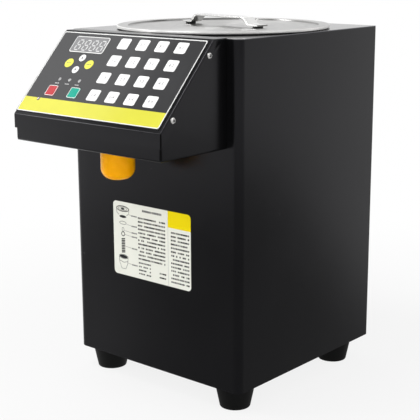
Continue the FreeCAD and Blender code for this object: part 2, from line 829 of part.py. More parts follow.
# The lid's strap handle: feet, leaning legs and a flat grip, bent from one strip.
def make_handle():
    z0 = z_top + lid_disc_level() + pad_thickness
    strap = handle_strap
    foot = handle_span / 2 + handle_foot_length / 2
    leg = handle_span / 2 - handle_foot_length / 2
    grip = leg - handle_lean
    top = z0 + handle_height
    outer = [(-foot, z0), (-leg + strap, z0), (-grip + strap, top - strap), (grip - strap, top - strap),
             (leg - strap, z0), (foot, z0), (foot, z0 + strap), (leg, z0 + strap), (grip, top),
             (-grip, top), (-leg, z0 + strap), (-foot, z0 + strap)]
    bend = handle_bend
    inside = bend - strap
    radii = [0, bend, inside, inside, bend, 0, 0, inside, bend, bend, inside, 0]
    y0 = tank_y - handle_width / 2
    points = [Vec(x, y0, z) for x, z in outer]
    axis = Vec(0, tank_y, 0)
    strip = prism(points, radii, Y_AXIS * handle_width)
    strip.rotate(axis, Z_AXIS, handle_turn)
    save("lid_handle", strip)
    pads = []
    for side in (-1, 1):
        foot_middle = Vec(side * handle_span / 2, tank_y, z0 - pad_thickness)
        pads.append(rod(pad_radius, foot_middle, Z_AXIS, pad_thickness))
    washers = Part.makeCompound(pads)
    washers.rotate(axis, Z_AXIS, handle_turn)
    save("lid_handle_pads", washers)


def make_heater():
    inner = tank_radius + band_clearance
    outer = inner + band_thickness
    base = Vec(0, tank_y, z_tank + band_start)
    band = tube(outer, inner, base, Z_AXIS, band_height)
    band = band.cut(box(-band_split / 2, band_split / 2, tank_y - outer - cut_margin, tank_y,
                        base.z - cut_margin, base.z + band_height + cut_margin))
    place = Vec(0, tank_y + inner, base.z + band_height / 2)
    button = rod(thermostat_radius, place, Y_AXIS, band_thickness + thermostat_height)
    button = button.cut(rod(outer, base, Z_AXIS, band_height))
    save("heater_band", Part.makeCompound([band, button]))


# --- Pump ---

def gear_pitch_radius():
    return gear_module * gear_teeth / 2


def gear_tip_radius():
    return gear_pitch_radius() + gear_addendum * gear_module


def pump_back_y():
    return y_front + pump_behind_front


def pump_cavity_y():
    return pump_back_y() - pump_back


def pump_front_y():
    return pump_cavity_y() - gear_width - 2 * gear_side_clearance


def drive_z():
    return z_base + sheet + pump_lift + pump_wall + gear_tip_radius() + gear_tip_clearance


def driven_z():
    return drive_z() + 2 * gear_pitch_radius()


def pump_middle_z():
    return (drive_z() + driven_z()) / 2


def pump_port_y():
    return pump_cavity_y() - gear_side_clearance - gear_width / 2


def pump_half_width():
    return gear_tip_radius() + gear_tip_clearance + pump_wall


def hose_x():
    return pump_half_width() + nipple_length + hose_straight + hose_bend


# Involute gear blank in the X-Z plane; turn is the angle of one tooth's middle, in degrees.
def gear_solid(centre, turn):
    pitch = gear_pitch_radius()
    base = pitch * math.cos(math.radians(gear_pressure_angle))
    tip = gear_tip_radius()
    root = pitch - gear_dedendum * gear_module
    involute_at_pitch = math.tan(math.radians(gear_pressure_angle)) - math.radians(gear_pressure_angle)
    half_tooth = math.pi / (2 * gear_teeth) - gear_backlash / (2 * pitch)
    flank = [(root, half_tooth + involute_at_pitch)]
    steps = 5
    for i in range(steps + 1):
        radius = base + (tip - base) * i / steps
        angle = math.acos(base / radius)
        flank.append((radius, half_tooth + involute_at_pitch - (math.tan(angle) - angle)))
    points = []
    for tooth in range(gear_teeth):
        middle = math.radians(turn) + 2 * math.pi * tooth / gear_teeth
        sides = [(r, middle - a) for r, a in flank] + [(r, middle + a) for r, a in reversed(flank)]
        points += [centre + Vec(r * math.cos(a), 0, r * math.sin(a)) for r, a in sides]
    return prism(points, 0, Y_AXIS * gear_width)


def make_gears():
    y0 = pump_front_y() + gear_side_clearance
    low = Vec(0, y0, drive_z())
    high = Vec(0, y0, driven_z())
    half_pitch = 180.0 / gear_teeth
    reach = journal_length + gear_side_clearance
    shaft_end = gear_width + gear_side_clearance + pump_back + bracket_thickness + motor_shaft_depth
    shaft = rod(gear_shaft_radius, low - Y_AXIS * reach, Y_AXIS, reach + shaft_end)
    save("drive_gear", fuse_all([gear_solid(low, quarter_turn), shaft]))
    pin = rod(gear_shaft_radius, high - Y_AXIS * reach, Y_AXIS, 2 * reach + gear_width)
    save("driven_gear", fuse_all([gear_solid(high, half_pitch - quarter_turn), pin]))


def pump_block(y0, y1):
    half = pump_half_width()
    z0 = z_base + sheet + pump_lift
    z1 = 2 * pump_middle_z() - z0
    corners = [Vec(-half, y0, z0), Vec(half, y0, z0), Vec(half, y0, z1), Vec(-half, y0, z1)]
    return prism(corners, pump_wall, Y_AXIS * (y1 - y0))


def make_pump():
    cavity_r = gear_tip_radius() + gear_tip_clearance
    bore_r = gear_shaft_radius + running_clearance
    front = pump_front_y()
    depth = pump_cavity_y() - front
    body = pump_block(front, pump_back_y())
    port_z = pump_middle_z()
    for side in (-1, 1):
        start = Vec(side * (pump_half_width() - cut_margin), pump_port_y(), port_z)
        body = body.fuse(rod(nipple_radius, start, X_AXIS * side, nipple_length + cut_margin))
    cuts = [rod(cavity_r, Vec(0, front, z), Y_AXIS, depth) for z in (drive_z(), driven_z())]
    cuts.append(rod(bore_r, Vec(0, front, drive_z()), Y_AXIS, pump_back_y() - front))
    cuts.append(rod(bore_r, Vec(0, front, driven_z()), Y_AXIS, depth + journal_length + gear_side_clearance))
    reach = pump_half_width() + nipple_length
    cuts.append(rod(nipple_bore, Vec(-reach, pump_port_y(), port_z), X_AXIS, 2 * reach))
    save("pump_body", body.cut(cuts).removeSplitter())
    cover = pump_block(front - pump_cover_thickness, front)
    holes = [rod(bore_r, Vec(0, front - journal_length - gear_side_clearance, z), Y_AXIS,
                 journal_length + 2 * gear_side_clearance)
             for z in (drive_z(), driven_z())]
    save("pump_cover", cover.cut(holes))


def make_motor():
    y0 = pump_back_y() + bracket_thickness
    centre = Vec(0, y0, drive_z())
    can = rod(motor_radius, centre, Y_AXIS, motor_length)
    cap = rod(motor_cap_radius, centre + Y_AXIS * motor_length, Y_AXIS, motor_cap)
    boss = rod(motor_boss_radius, centre - Y_AXIS * bracket_thickness, Y_AXIS, bracket_thickness)
    bore = rod(gear_shaft_radius + running_clearance, centre - Y_AXIS * (2 * bracket_thickness), Y_AXIS,
               2 * bracket_thickness + motor_shaft_depth + running_clearance)
    save("pump_motor", fuse_all([can, cap, boss]).cut(bore))


def make_bracket():
    half = max(pump_half_width(), motor_radius) + bracket_margin
    y0 = pump_back_y()
    z0 = z_base + sheet
    z1 = driven_z() + bracket_margin
    upright = box(-half, half, y0, y0 + bracket_thickness, z0, z1)
    foot = box(-half, half, y0, y0 + bracket_foot, z0, z0 + bracket_thickness)
    hole = rod(bracket_shaft_hole, Vec(0, y0 - cut_margin, drive_z()), Y_AXIS,
               bracket_thickness + 2 * cut_margin)
    save("pump_bracket", fuse_all([upright, foot]).cut(hole))


# --- Hoses ---

# A hose along a route of straight runs and tangent arcs, with its bore.
def hose(points):
    radii = [0] + [hose_bend] * (len(points) - 2) + [0]
    direction = (points[1] - points[0]).normalize()
    route = chain(points, radii, False)
    solids = []
    for radius in (hose_radius(), hose_radius() - hose_wall):
        circle = Part.Wire(Part.makeCircle(radius, points[0], direction))
        solids.append(route.makePipeShell([circle], True, False))
    return solids[0].cut(solids[1])


def hose_radius():
    return nipple_radius + hose_clearance + hose_wall


def valve_port_z():
    return z_floor + head_back_flange + hose_radius() + window_gap


def valve_top_z():
    return valve_port_z() + nipple_bore + valve_roof


def make_hoses():
    x = hose_x()
    y = pump_port_y()
    port = Vec(pump_half_width(), y, pump_middle_z())
    outlet = Vec(x, y, z_tank - outlet_nut_height)
    save("suction_hose", hose([port, Vec(x, y, port.z), outlet]))
    top = valve_port_z()
    valve_end = Vec(0, valve_y + spigot_radius, top)
    turn = Vec(0, valve_end.y + nipple_length + hose_straight + hose_bend, top)
    riser_x = -(body_width / 2 - sheet - riser_gap - hose_radius())
    riser_y = y_front + sheet + riser_gap + hose_radius()
    points = [Vec(-pump_half_width(), y, port.z), Vec(riser_x, y, port.z), Vec(riser_x, riser_y, port.z),
              Vec(riser_x, riser_y, top), turn, valve_end]
    save("delivery_hose", hose(points))


def make_tank_outlet():
    x = hose_x()
    y = pump_port_y()
    collar_z = z_tank + tank_wall
    collar = rod(outlet_nut_radius, Vec(x, y, collar_z), Z_AXIS, outlet_collar)
    thread = rod(outlet_thread_radius, Vec(x, y, z_tank - outlet_nut_height), Z_AXIS,
                 outlet_nut_height + tank_wall)
    nut = rod(outlet_nut_radius, Vec(x, y, z_tank - outlet_nut_height), Z_AXIS, outlet_nut_height)
    barb_z = z_tank - outlet_nut_height - nipple_length
    barb = rod(nipple_radius, Vec(x, y, barb_z), Z_AXIS, nipple_length)
    bore = rod(nipple_bore, Vec(x, y, barb_z), Z_AXIS, collar_z + outlet_collar - barb_z)
    save("tank_outlet", fuse_all([collar, thread, nut, barb]).cut(bore))


# --- Outlet valve and nozzle cup ---

def seat_z():
    return z_floor - seat_depth


def cup_floor_z():
    return z_floor - cup_drop + cup_outlet_length


def make_valve():
    axis = Vec(0, valve_y, 0)
    low = z_floor - spigot_length
    top = valve_top_z()
    spigot = rod(spigot_radius, axis + Z_AXIS * low, Z_AXIS, top - low)
    flange = rod(valve_flange_radius, axis + Z_AXIS * (z_floor + sheet), Z_AXIS, valve_flange)
    port = Vec(0, valve_y + chamber_radius, valve_port_z())
    nipple = rod(nipple_radius, port, Y_AXIS, spigot_radius - chamber_radius + nipple_length)
    bore = rod(valve_bore, axis + Z_AXIS * low, Z_AXIS, seat_z() - low)
    seat = rod(seat_hole, axis + Z_AXIS * seat_z(), Z_AXIS, seat_web)
    chamber_floor = seat_z() + seat_web
    chamber = rod(chamber_radius, axis + Z_AXIS * chamber_floor, Z_AXIS, top - valve_roof - chamber_floor)
    channel = rod(nipple_bore, port - Y_AXIS * chamber_radius, Y_AXIS, spigot_radius + nipple_length)
    save("valve_body", fuse_all([spigot, flange, nipple]).cut([bore, seat, chamber, channel]))


def ring_level():
    return z_floor - spigot_length - ring_gap - 2 * ring_section


def make_nozzle_cup():
    centre = Vec(0, valve_y, z_floor - cup_drop)
    height = cup_drop - cup_top_gap
    floor = cup_outlet_length
    bore = spigot_radius + thread_clearance
    shelf = ring_level() - centre.z
    points = [(cup_outlet, 0), (cup_radius, 0), (cup_radius, height), (bore, height), (bore, shelf),
              (cup_chamber_radius, shelf), (cup_chamber_radius, floor), (cup_outlet, floor)]
    radii = [cup_outlet_round, cup_dome, cup_rim_round, cup_rim_bevel, 0, 0, 0, 0]
    save("nozzle_cup", revolved(points, radii, centre))
    ring_radius = (bore + cup_chamber_radius) / 2
    ring_centre = Vec(0, valve_y, ring_level() + ring_section)
    save("valve_o_ring", Part.makeTorus(ring_radius, ring_section, ring_centre, Z_AXIS))


def plunger_disc_z():
    return seat_z() - plunger_seat_gap - plunger_disc


# The helical spring as a closed solid of small flat faces.
def coil(centre, height):
    steps = spring_turns * spring_steps
    rings = []
    for i in range(steps + 1):
        angle = 2 * math.pi * i / spring_steps
        outward = Vec(math.cos(angle), math.sin(angle), 0)
        middle = centre + outward * spring_mean_radius + Z_AXIS * (height * i / steps)
        around = [2 * math.pi * k / spring_sides for k in range(spring_sides)]
        rings.append([middle + (outward * math.cos(a) + Z_AXIS * math.sin(a)) * spring_wire for a in around])
    polygons = [rings[0], rings[-1]]
    for low, high in zip(rings, rings[1:]):
        for k in range(spring_sides):
            after = (k + 1) % spring_sides
            polygons.append([low[k], low[after], high[after]])
            polygons.append([low[k], high[after], high[k]])
    faces = [Part.Face(Part.makePolygon(points + points[:1])) for points in polygons]
    solid = Part.Solid(Part.makeShell(faces))
    if solid.Volume < 0:
        solid.reverse()
    return solid


def make_plunger():
    centre = Vec(0, valve_y, plunger_disc_z())
    disc = rod(plunger_radius, centre, Z_AXIS, plunger_disc)
    tip = Part.makeCone(plunger_tip, plunger_tip_end, plunger_tip_height,
                        centre + Z_AXIS * plunger_disc, Z_AXIS)
    stem = rod(plunger_stem, centre - Z_AXIS * plunger_stem_length, Z_AXIS, plunger_stem_length)
    save("valve_plunger", fuse_all([disc, tip, stem]))
    low = cup_floor_z() + spring_gap + spring_wire
    high = plunger_disc_z() - spring_gap - spring_wire
    save("valve_spring", coil(Vec(0, valve_y, low), high - low))


# --- Label and mains inlet ---

def make_front_label():
    z = z_base + label_base + label_height / 2
    save("front_label", wall_plate(label_x, z, label_width, label_height, label_corner,
                                   y_front - label_thickness, label_thickness))


def rocker_axis():
    return Vec(inlet_x, y_rear + sheet + inlet_flange - rocker_face, z_base + inlet_height + rocker_lift)


def make_inlet():
    z = z_base + inlet_height
    face = y_rear + sheet
    flange = wall_plate(inlet_x, z, inlet_flange_width, inlet_flange_height, inlet_corner, face, inlet_flange)
    body = wall_plate(inlet_x, z, inlet_body_width, inlet_body_height, inlet_body_corner,
                      face - inlet_body_depth, inlet_body_depth)
    outer = face + inlet_flange
    socket_z = z - socket_drop
    recess = wall_plate(inlet_x, socket_z, socket_width, socket_height, socket_corner,
                        outer - socket_depth, socket_depth + cut_margin)
    pivot = rocker_axis()
    opening = wall_plate(inlet_x, pivot.z, rocker_width + 2 * rocker_clearance,
                         rocker_height + 2 * rocker_clearance, rocker_opening_corner,
                         outer - rocker_depth - inlet_flange, rocker_depth + inlet_flange + cut_margin)
    half = rocker_width / 2 + rocker_pin_length + rocker_clearance
    pivot_hole = rod(rocker_pin_radius + running_clearance, pivot - X_AXIS * half, X_AXIS, 2 * half)
    module = fuse_all([flange, body]).cut([recess, opening, pivot_hole])
    pins = []
    for i in (-1, 0, 1):
        pin_z = socket_z + (pin_offset if i == 0 else -pin_offset)
        pins.append(box(inlet_x + i * pin_spacing - pin_width / 2, inlet_x + i * pin_spacing + pin_width / 2,
                        outer - socket_depth - cut_margin, outer - socket_depth + pin_length,
                        pin_z - pin_height / 2, pin_z + pin_height / 2))
    save("power_inlet", fuse_all([module] + pins))


# The rocker: two faces that meet at a shallow angle, turned to its first position at rest.
def make_rocker():
    pivot = rocker_axis()
    half = rocker_height / 2
    rise = half * math.tan(math.radians(rocker_tilt))
    x0 = pivot.x - rocker_width / 2
    profile = [(rocker_face, 0), (rocker_face + rise, half), (0, half), (-rocker_back, rocker_back_half),
               (-rocker_back, -rocker_back_half), (0, -half), (rocker_face + rise, -half)]
    points = [Vec(x0, pivot.y + y, pivot.z + z) for y, z in profile]
    radii = [0, rocker_edge_round, 0, rocker_back_round, rocker_back_round, 0, rocker_edge_round]
    rocker = prism(points, radii, X_AXIS * rocker_width)
    length = rocker_width + 2 * rocker_pin_length
    axle = rod(rocker_pin_radius, pivot - X_AXIS * (length / 2), X_AXIS, length)
    rocker = fuse_all([rocker, axle])
    rocker.rotate(pivot, X_AXIS, -rocker_tilt)
    save("power_rocker", rocker)


make_body_shell()
make_top_plate()
make_base_plate()
make_feet()
make_cabinet_screws()
make_rear_cover()
make_head_housing()
make_head_cover()
make_keypad()
make_overlay_rivet()
make_electronics()
make_tank()
make_lid()
make_handle()
make_heater()
make_gears()
make_pump()
make_motor()
make_bracket()
make_hoses()
make_tank_outlet()
make_valve()
make_nozzle_cup()
make_plunger()
make_front_label()
make_inlet()
make_rocker()
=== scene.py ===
import json
import math

import bmesh
import bpy
from mathutils import Matrix, Vector
from mathutils.bvhtree import BVHTree

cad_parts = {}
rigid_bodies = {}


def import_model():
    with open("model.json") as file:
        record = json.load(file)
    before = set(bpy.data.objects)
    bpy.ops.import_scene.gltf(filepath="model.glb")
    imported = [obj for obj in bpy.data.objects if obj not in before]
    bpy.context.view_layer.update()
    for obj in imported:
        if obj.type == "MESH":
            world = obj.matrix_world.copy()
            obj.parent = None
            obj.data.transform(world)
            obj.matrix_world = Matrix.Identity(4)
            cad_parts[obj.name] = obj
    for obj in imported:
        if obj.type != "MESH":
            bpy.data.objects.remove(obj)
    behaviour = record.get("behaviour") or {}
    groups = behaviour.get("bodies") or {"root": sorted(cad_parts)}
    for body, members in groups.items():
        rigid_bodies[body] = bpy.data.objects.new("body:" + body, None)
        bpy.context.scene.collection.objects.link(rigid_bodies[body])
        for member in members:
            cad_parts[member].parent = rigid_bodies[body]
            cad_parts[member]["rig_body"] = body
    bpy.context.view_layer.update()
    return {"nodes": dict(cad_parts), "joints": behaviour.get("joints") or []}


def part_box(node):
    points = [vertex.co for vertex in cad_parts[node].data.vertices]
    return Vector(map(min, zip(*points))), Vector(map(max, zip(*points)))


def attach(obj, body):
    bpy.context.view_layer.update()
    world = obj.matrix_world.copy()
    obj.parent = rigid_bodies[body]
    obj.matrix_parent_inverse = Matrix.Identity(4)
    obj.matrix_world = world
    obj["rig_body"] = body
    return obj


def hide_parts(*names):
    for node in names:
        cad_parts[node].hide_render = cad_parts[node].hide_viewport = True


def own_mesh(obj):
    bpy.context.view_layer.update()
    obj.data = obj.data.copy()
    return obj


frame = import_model()
nodes = frame["nodes"]
print("frame loaded:", len(nodes), "nodes")

mm = 0.001
inkLift = 0.03 * mm     # ink above the face it's printed on
inkDepth = 0.02 * mm
weld = 0.002 * mm       # corners nearer than this are one
flatTurn = 0.2          # faces that turn less than this, in degrees, are one flat face
edgeTurn = 38           # edges that turn more than this, in degrees, are softened
square = ((1, 1), (-1, 1), (-1, -1), (1, -1))


# places and sizes read from the frame

def centreOf(node):
    low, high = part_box(node)
    return (low + high) / 2


def bodyOf(node):
    return nodes[node]["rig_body"]


def jointOf(name):
    return next(j for j in frame["joints"] if j["name"] == name)


slopeOut = -Vector(jointOf("key_1_1_press")["axis"]).normalized()
slopeUp = Vector((0, slopeOut.z, -slopeOut.y))
foldInset = 4.6 * mm    # overlay's lower edge up the slope from the lip's fold
foldPoint = Vector((0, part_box("head_cover")[0].y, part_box("keypad_overlay")[0].z - slopeUp.z * foldInset))
slopeTurn = math.atan2(slopeUp.z, slopeUp.y)
slopePlace = Matrix.Translation(foldPoint) @ Matrix.Rotation(slopeTurn, 4, "X")
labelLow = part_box("front_label")[0]
labelPlace = Matrix.Translation((0, labelLow.y, labelLow.z)) @ Matrix.Rotation(math.radians(90), 4, "X")


def slopeCentre(node):
    return slopePlace.inverted() @ centreOf(node)


# a place over a node's middle, square to the slope
def onSlope(node, rise=0.0, shift=(0.0, 0.0)):
    return slopePlace @ Matrix.Translation(slopeCentre(node) + Vector((*shift, rise)))


# half the width and half the length of a plate that lies in the slope
def slopeHalf(node, thickness):
    low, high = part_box(node)
    return (high.x - low.x) / 2, (high.z - low.z - thickness * slopeOut.z) / slopeUp.z / 2


# node helpers: an input is a value or a link, and a colour has three values

def isLink(value):
    return isinstance(value, bpy.types.NodeSocket)


def setInputs(node, inputs):
    for key, value in inputs.items():
        socket = node.inputs[key]
        if isLink(value):
            node.id_data.links.new(value, socket)
        else:
            socket.default_value = (*value, 1) if socket.type == "RGBA" else value


# a node in the tree that its first linked input comes from
def newNode(kind, inputs, **settings):
    inputs = dict(inputs)
    node = next(value.id_data for value in inputs.values() if isLink(value)).nodes.new(kind)
    for name, value in settings.items():
        setattr(node, name, value)
    setInputs(node, inputs)
    return node


def mathNode(operation, *values):
    return newNode("ShaderNodeMath", enumerate(values), operation=operation).outputs[0]


def vectorLength(vector):
    return newNode("ShaderNodeVectorMath", {0: vector}, operation="LENGTH").outputs["Value"]


def mapRange(value, low, high, toLow, toHigh, smooth=False):
    inputs = {"Value": value, "From Min": low, "From Max": high, "To Min": toLow, "To Max": toHigh}
    kind = "SMOOTHSTEP" if smooth else "LINEAR"
    return newNode("ShaderNodeMapRange", inputs, interpolation_type=kind).outputs["Result"]


def mixColour(factor, a, b, blend="MIX"):
    inputs = {"Factor": factor, 6: a, 7: b}
    return newNode("ShaderNodeMix", inputs, data_type="RGBA", blend_type=blend).outputs[2]


def noiseNode(vector, scale, detail, roughness):
    inputs = {"Vector": vector, "Scale": scale, "Detail": detail, "Roughness": roughness}
    return newNode("ShaderNodeTexNoise", inputs).outputs["Fac"]


def splitVector(vector):
    return newNode("ShaderNodeSeparateXYZ", {0: vector}).outputs


def joinVector(*parts):
    return newNode("ShaderNodeCombineXYZ", enumerate(parts)).outputs[0]


# a node group: each input has its socket's kind or, for a number, its first value
def newGroup(name, inputs, outputs, kind="Shader"):
    tree = bpy.data.node_groups.new(name, kind + "NodeTree")
    for label, value in inputs.items():
        isKind = isinstance(value, str)
        socketKind = "NodeSocket" + (value if isKind else "Float")
        socket = tree.interface.new_socket(label, in_out="INPUT", socket_type=socketKind)
        if not isKind:
            socket.default_value = value
    for label in outputs:
        socketKind = "NodeSocketFloat" if kind == "Shader" else "NodeSocketGeometry"
        tree.interface.new_socket(label, in_out="OUTPUT", socket_type=socketKind)
    return tree, tree.nodes.new("NodeGroupInput").outputs, tree.nodes.new("NodeGroupOutput")


def addGroup(group, vector, values):
    return newNode("ShaderNodeGroup", {"Vector": vector, **values}, node_tree=group).outputs


# noise detail and roughness of the grains, and how far each is stretched
grainLook = {"paint": (2.0, 0.55), "smudge": (4.0, 0.6), "metal": (2.0, 0.6), "streak": (3.0, 0.6),
             "contrast": (0.3, 0.7), "axisClear": 0.5 * mm, "broadRings": 60.0, "broadScale": 2.0,
             "stretch": (0.02, 1.0, 1.0), "groundStreaks": 140.0}


# the grain, smudges and dust specks of a painted or moulded surface
def makeSurfaceGroup():
    tree, given, out = newGroup("paintedSurface", {
        "Vector": "Vector", "Grain Scale": 900.0, "Smudge Scale": 9.0, "Speck Scale": 24.0,
        "Speck Size": 0.01}, ("Height", "Smudge", "Specks"))
    vector = given["Vector"]
    grain = noiseNode(vector, given["Grain Scale"], *grainLook["paint"])
    smudge = noiseNode(vector, given["Smudge Scale"], *grainLook["smudge"])
    cells = newNode("ShaderNodeTexVoronoi", {"Vector": vector, "Scale": given["Speck Scale"]})
    specks = mathNode("LESS_THAN", cells.outputs["Distance"], given["Speck Size"])
    smudge = mapRange(smudge, *grainLook["contrast"], 0.0, 1.0, True)
    setInputs(out, {"Height": grain, "Smudge": smudge, "Specks": specks})
    return tree


def closeMetalGroup(tree, out, height, streaks):
    streaks = mapRange(streaks, *grainLook["contrast"], 0.0, 1.0)
    setInputs(out, {"Height": height, "Streaks": streaks})
    return tree


# fine rings about the local Z axis, as spun or polished steel has them
def makeSpunGroup():
    tree, given, out = newGroup("spunGrain", {"Vector": "Vector", "Rings": 2500.0}, ("Height", "Streaks"))
    across = splitVector(given["Vector"])[:2]
    squares = [mathNode("MULTIPLY", side, side) for side in across]
    radius = mathNode("SQRT", mathNode("ADD", *squares))
    safe = mathNode("MAXIMUM", radius, grainLook["axisClear"])
    turn = [mathNode("DIVIDE", side, safe) for side in across]
    rings = joinVector(mathNode("MULTIPLY", radius, given["Rings"]), *turn)
    broad = joinVector(mathNode("MULTIPLY", radius, grainLook["broadRings"]), *turn)
    return closeMetalGroup(tree, out, noiseNode(rings, 1.0, *grainLook["metal"]),
                           noiseNode(broad, grainLook["broadScale"], *grainLook["streak"]))


# long fine scratches along local X, for ground or rolled steel
def makeGroundGroup():
    inputs = {"Vector": "Vector", "Fineness": 3000.0}
    tree, given, out = newGroup("groundGrain", inputs, ("Height", "Streaks"))
    stretched = newNode("ShaderNodeVectorMath", {0: given["Vector"], 1: grainLook["stretch"]},
                        operation="MULTIPLY").outputs[0]
    return closeMetalGroup(tree, out, noiseNode(stretched, given["Fineness"], *grainLook["metal"]),
                           noiseNode(stretched, grainLook["groundStreaks"], *grainLook["streak"]))


# 1 inside a rounded rectangle of the local XY plane, 0 outside it
def makeBoxGroup():
    tree, given, out = newGroup("roundedBox", {
        "Vector": "Vector", "Centre X": 0.0, "Centre Y": 0.0, "Half Width": 0.01, "Half Height": 0.01,
        "Corner": 0.001}, ("Mask",))
    x, y = splitVector(given["Vector"])[:2]
    squares = []
    for value, centre, half in ((x, "Centre X", "Half Width"), (y, "Centre Y", "Half Height")):
        offset = mathNode("ABSOLUTE", mathNode("SUBTRACT", value, given[centre]))
        straight = mathNode("SUBTRACT", given[half], given["Corner"])
        away = mathNode("MAXIMUM", mathNode("SUBTRACT", offset, straight), 0.0)
        squares.append(mathNode("MULTIPLY", away, away))
    distance = mathNode("SQRT", mathNode("ADD", *squares))
    setInputs(out, {"Mask": mathNode("LESS_THAN", distance, given["Corner"])})
    return tree


surfaceGroup = makeSurfaceGroup()
spunGroup = makeSpunGroup()
groundGroup = makeGroundGroup()
boxGroup = makeBoxGroup()


def boxMask(vector, x, y, halfWidth, halfHeight, corner):
    return addGroup(boxGroup, vector, {"Centre X": x, "Centre Y": y, "Half Width": halfWidth,
                                       "Half Height": halfHeight, "Corner": corner})["Mask"]


def newMaterial(name):
    material = bpy.data.materials.new(name)
    material.use_nodes = True
    tree = material.node_tree
    return material, tree, tree.nodes["Principled BSDF"]


# object coordinates, seen from a local place
def localPlace(tree, place=None):
    vector = tree.nodes.new("ShaderNodeTexCoord").outputs["Object"]
    if place is None:
        return vector
    inputs = {"Vector": vector, "Location": place.to_translation(), "Rotation": place.to_euler()}
    return newNode("ShaderNodeMapping", inputs, vector_type="TEXTURE").outputs[0]


def bumpNormal(height, depth):
    inputs = {"Strength": 1.0, "Distance": depth, "Height": height}
    return newNode("ShaderNodeBump", inputs).outputs["Normal"]


# paint, plastic and rubber: a base colour with a shade of it, grain and smudged gloss
def surfaceMaterial(name, look, colour=None, place=None):
    material, tree, shader = newMaterial(name)
    vector = localPlace(tree, place)
    surface = addGroup(surfaceGroup, vector, {"Grain Scale": look["grain"], "Smudge Scale": look["smudge"],
                                              "Speck Size": look.get("speckSize", 0.0)})
    tint = colour(vector) if colour else look["colour"]
    shade = mapRange(surface["Smudge"], 0.0, 1.0, look["shade"], 1.0)
    tint = mixColour(1.0, tint, shade, "MULTIPLY")
    if look.get("speckSize"):
        tint = mixColour(surface["Specks"], tint, look["speckColour"])
    setInputs(shader, {
        "Base Color": tint,
        "Roughness": mapRange(surface["Smudge"], 0.0, 1.0, *look["rough"]),
        "Coat Weight": look.get("coat", 0.0),
        "Subsurface Weight": look.get("glow", 0.0),
        "Subsurface Scale": look.get("glowDepth", 2.0 * mm),
        "IOR": look.get("ior", 1.5),
        "Specular Tint": look.get("tint", (1, 1, 1)),
        "Normal": bumpNormal(surface["Height"], look["depth"])})
    return material


# bare metal with a spun or ground grain
def metalMaterial(name, look, place=None):
    material, tree, shader = newMaterial(name)
    vector = localPlace(tree, place)
    group, fineness = (spunGroup, "Rings") if look["grain"] == "spun" else (groundGroup, "Fineness")
    surface = addGroup(group, vector, {fineness: look["fineness"]})
    shade = tuple(c * look["shade"] for c in look["colour"])
    tint = mixColour(surface["Streaks"], shade, look["colour"])
    metal = look.get("metal", 1.0)
    # painted highlights: the rim ring and the hem get lighter tints, and the hem is made less metallic
    if look.get("rimFrom"):
        x, y = splitVector(vector)[:2]
        radius = vectorLength(joinVector(x, y, 0.0))
        for edge in ("rim", "hem"):
            start = look[edge + "From"]
            mask = mapRange(radius, start - look["edgeBlend"], start, 0.0, 1.0)
            tint = mixColour(mask, tint, look[edge + "Colour"])
        metal = mapRange(mask, 0.0, 1.0, 1.0, look["hemMetal"])
    smooth, dull = look["rough"]
    setInputs(shader, {"Base Color": tint, "Metallic": metal,
                       "Roughness": mapRange(surface["Streaks"], 0.0, 1.0, dull, smooth),
                       "Normal": bumpNormal(surface["Height"], look["depth"])})
    if look.get("anisotropic"):
        tangent = tree.nodes.new("ShaderNodeTangent")
        tangent.direction_type = "RADIAL"
        tangent.axis = "Z"
        setInputs(shader, {"Anisotropic": look["anisotropic"], "Anisotropic Rotation": 0.25,
                           "Tangent": tangent.outputs[0]})
    return material


# mesh helpers

def addObject(name, data):
    made = bpy.data.objects.new(name, data)
    bpy.context.scene.collection.objects.link(made)
    return made


def finishPiece(made, body, material, slotName, stands=()):
    made.data.materials.clear()
    made.data.materials.append(material)
    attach(made, body)
    if stands:
        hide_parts(*stands)
    return made


def meshOf(name, work):
    mesh = bpy.data.meshes.new(name)
    work.to_mesh(mesh)
    work.free()
    return mesh


def smoothMesh(mesh, angle):
    mesh.shade_smooth()
    mesh.set_sharp_from_angle(angle=math.radians(angle))


def meshFrom(name, build, place=None, smooth=20.0):
    work = bmesh.new()
    build(work)
    bmesh.ops.remove_doubles(work, verts=work.verts, dist=weld)
    bmesh.ops.recalc_face_normals(work, faces=work.faces)
    if work.calc_volume(signed=True) < 0:
        bmesh.ops.reverse_faces(work, faces=work.faces)
    mesh = meshOf(name, work)
    if place is not None:
        mesh.transform(place)
    smoothMesh(mesh, smooth)
    return mesh


def builtPiece(name, build, body, material, slotName, place=None, smooth=20.0, stands=()):
    mesh = meshFrom(name, build, place, smooth)
    return finishPiece(addObject(name, mesh), body, material, slotName, stands)


def evaluatedMesh(made):
    bpy.context.view_layer.update()
    return bpy.data.meshes.new_from_object(made.evaluated_get(bpy.context.evaluated_depsgraph_get()))


# modifiers turned into the mesh itself
def bakeModifiers(made):
    result = evaluatedMesh(made)
    made.modifiers.clear()
    made.data = result
    return made


# a node tree run on an object, with its inputs set by their identifiers
def runTree(made, tree, values):
    modifier = made.modifiers.new("nodes", "NODES")
    modifier.node_group = tree
    for item in tree.interface.items_tree:
        if item.in_out == "INPUT" and item.name in values:
            modifier[item.identifier] = values[item.name]
    return bakeModifiers(made)


# the last two steps of a tree that sets copies on points
def paintCopies(tree, place, given, out):
    real = newNode("GeometryNodeRealizeInstances", {0: place.outputs["Instances"]})
    paint = newNode("GeometryNodeSetMaterial", {"Geometry": real.outputs[0], "Material": given["Material"]})
    setInputs(out, {"Geometry": paint.outputs["Geometry"]})
    return tree


# where two solids of a node meet face to face, both faces go, so that the joined shape stays closed
def dropMeetingFaces(work):
    places = {}
    for face in work.faces:
        corners = frozenset(tuple(round(c / weld) for c in v.co) for v in face.verts)
        places.setdefault(corners, []).append(face)
    meeting = [face for faces in places.values() if len(faces) > 1 for face in faces]
    bmesh.ops.delete(work, geom=meeting, context="FACES")


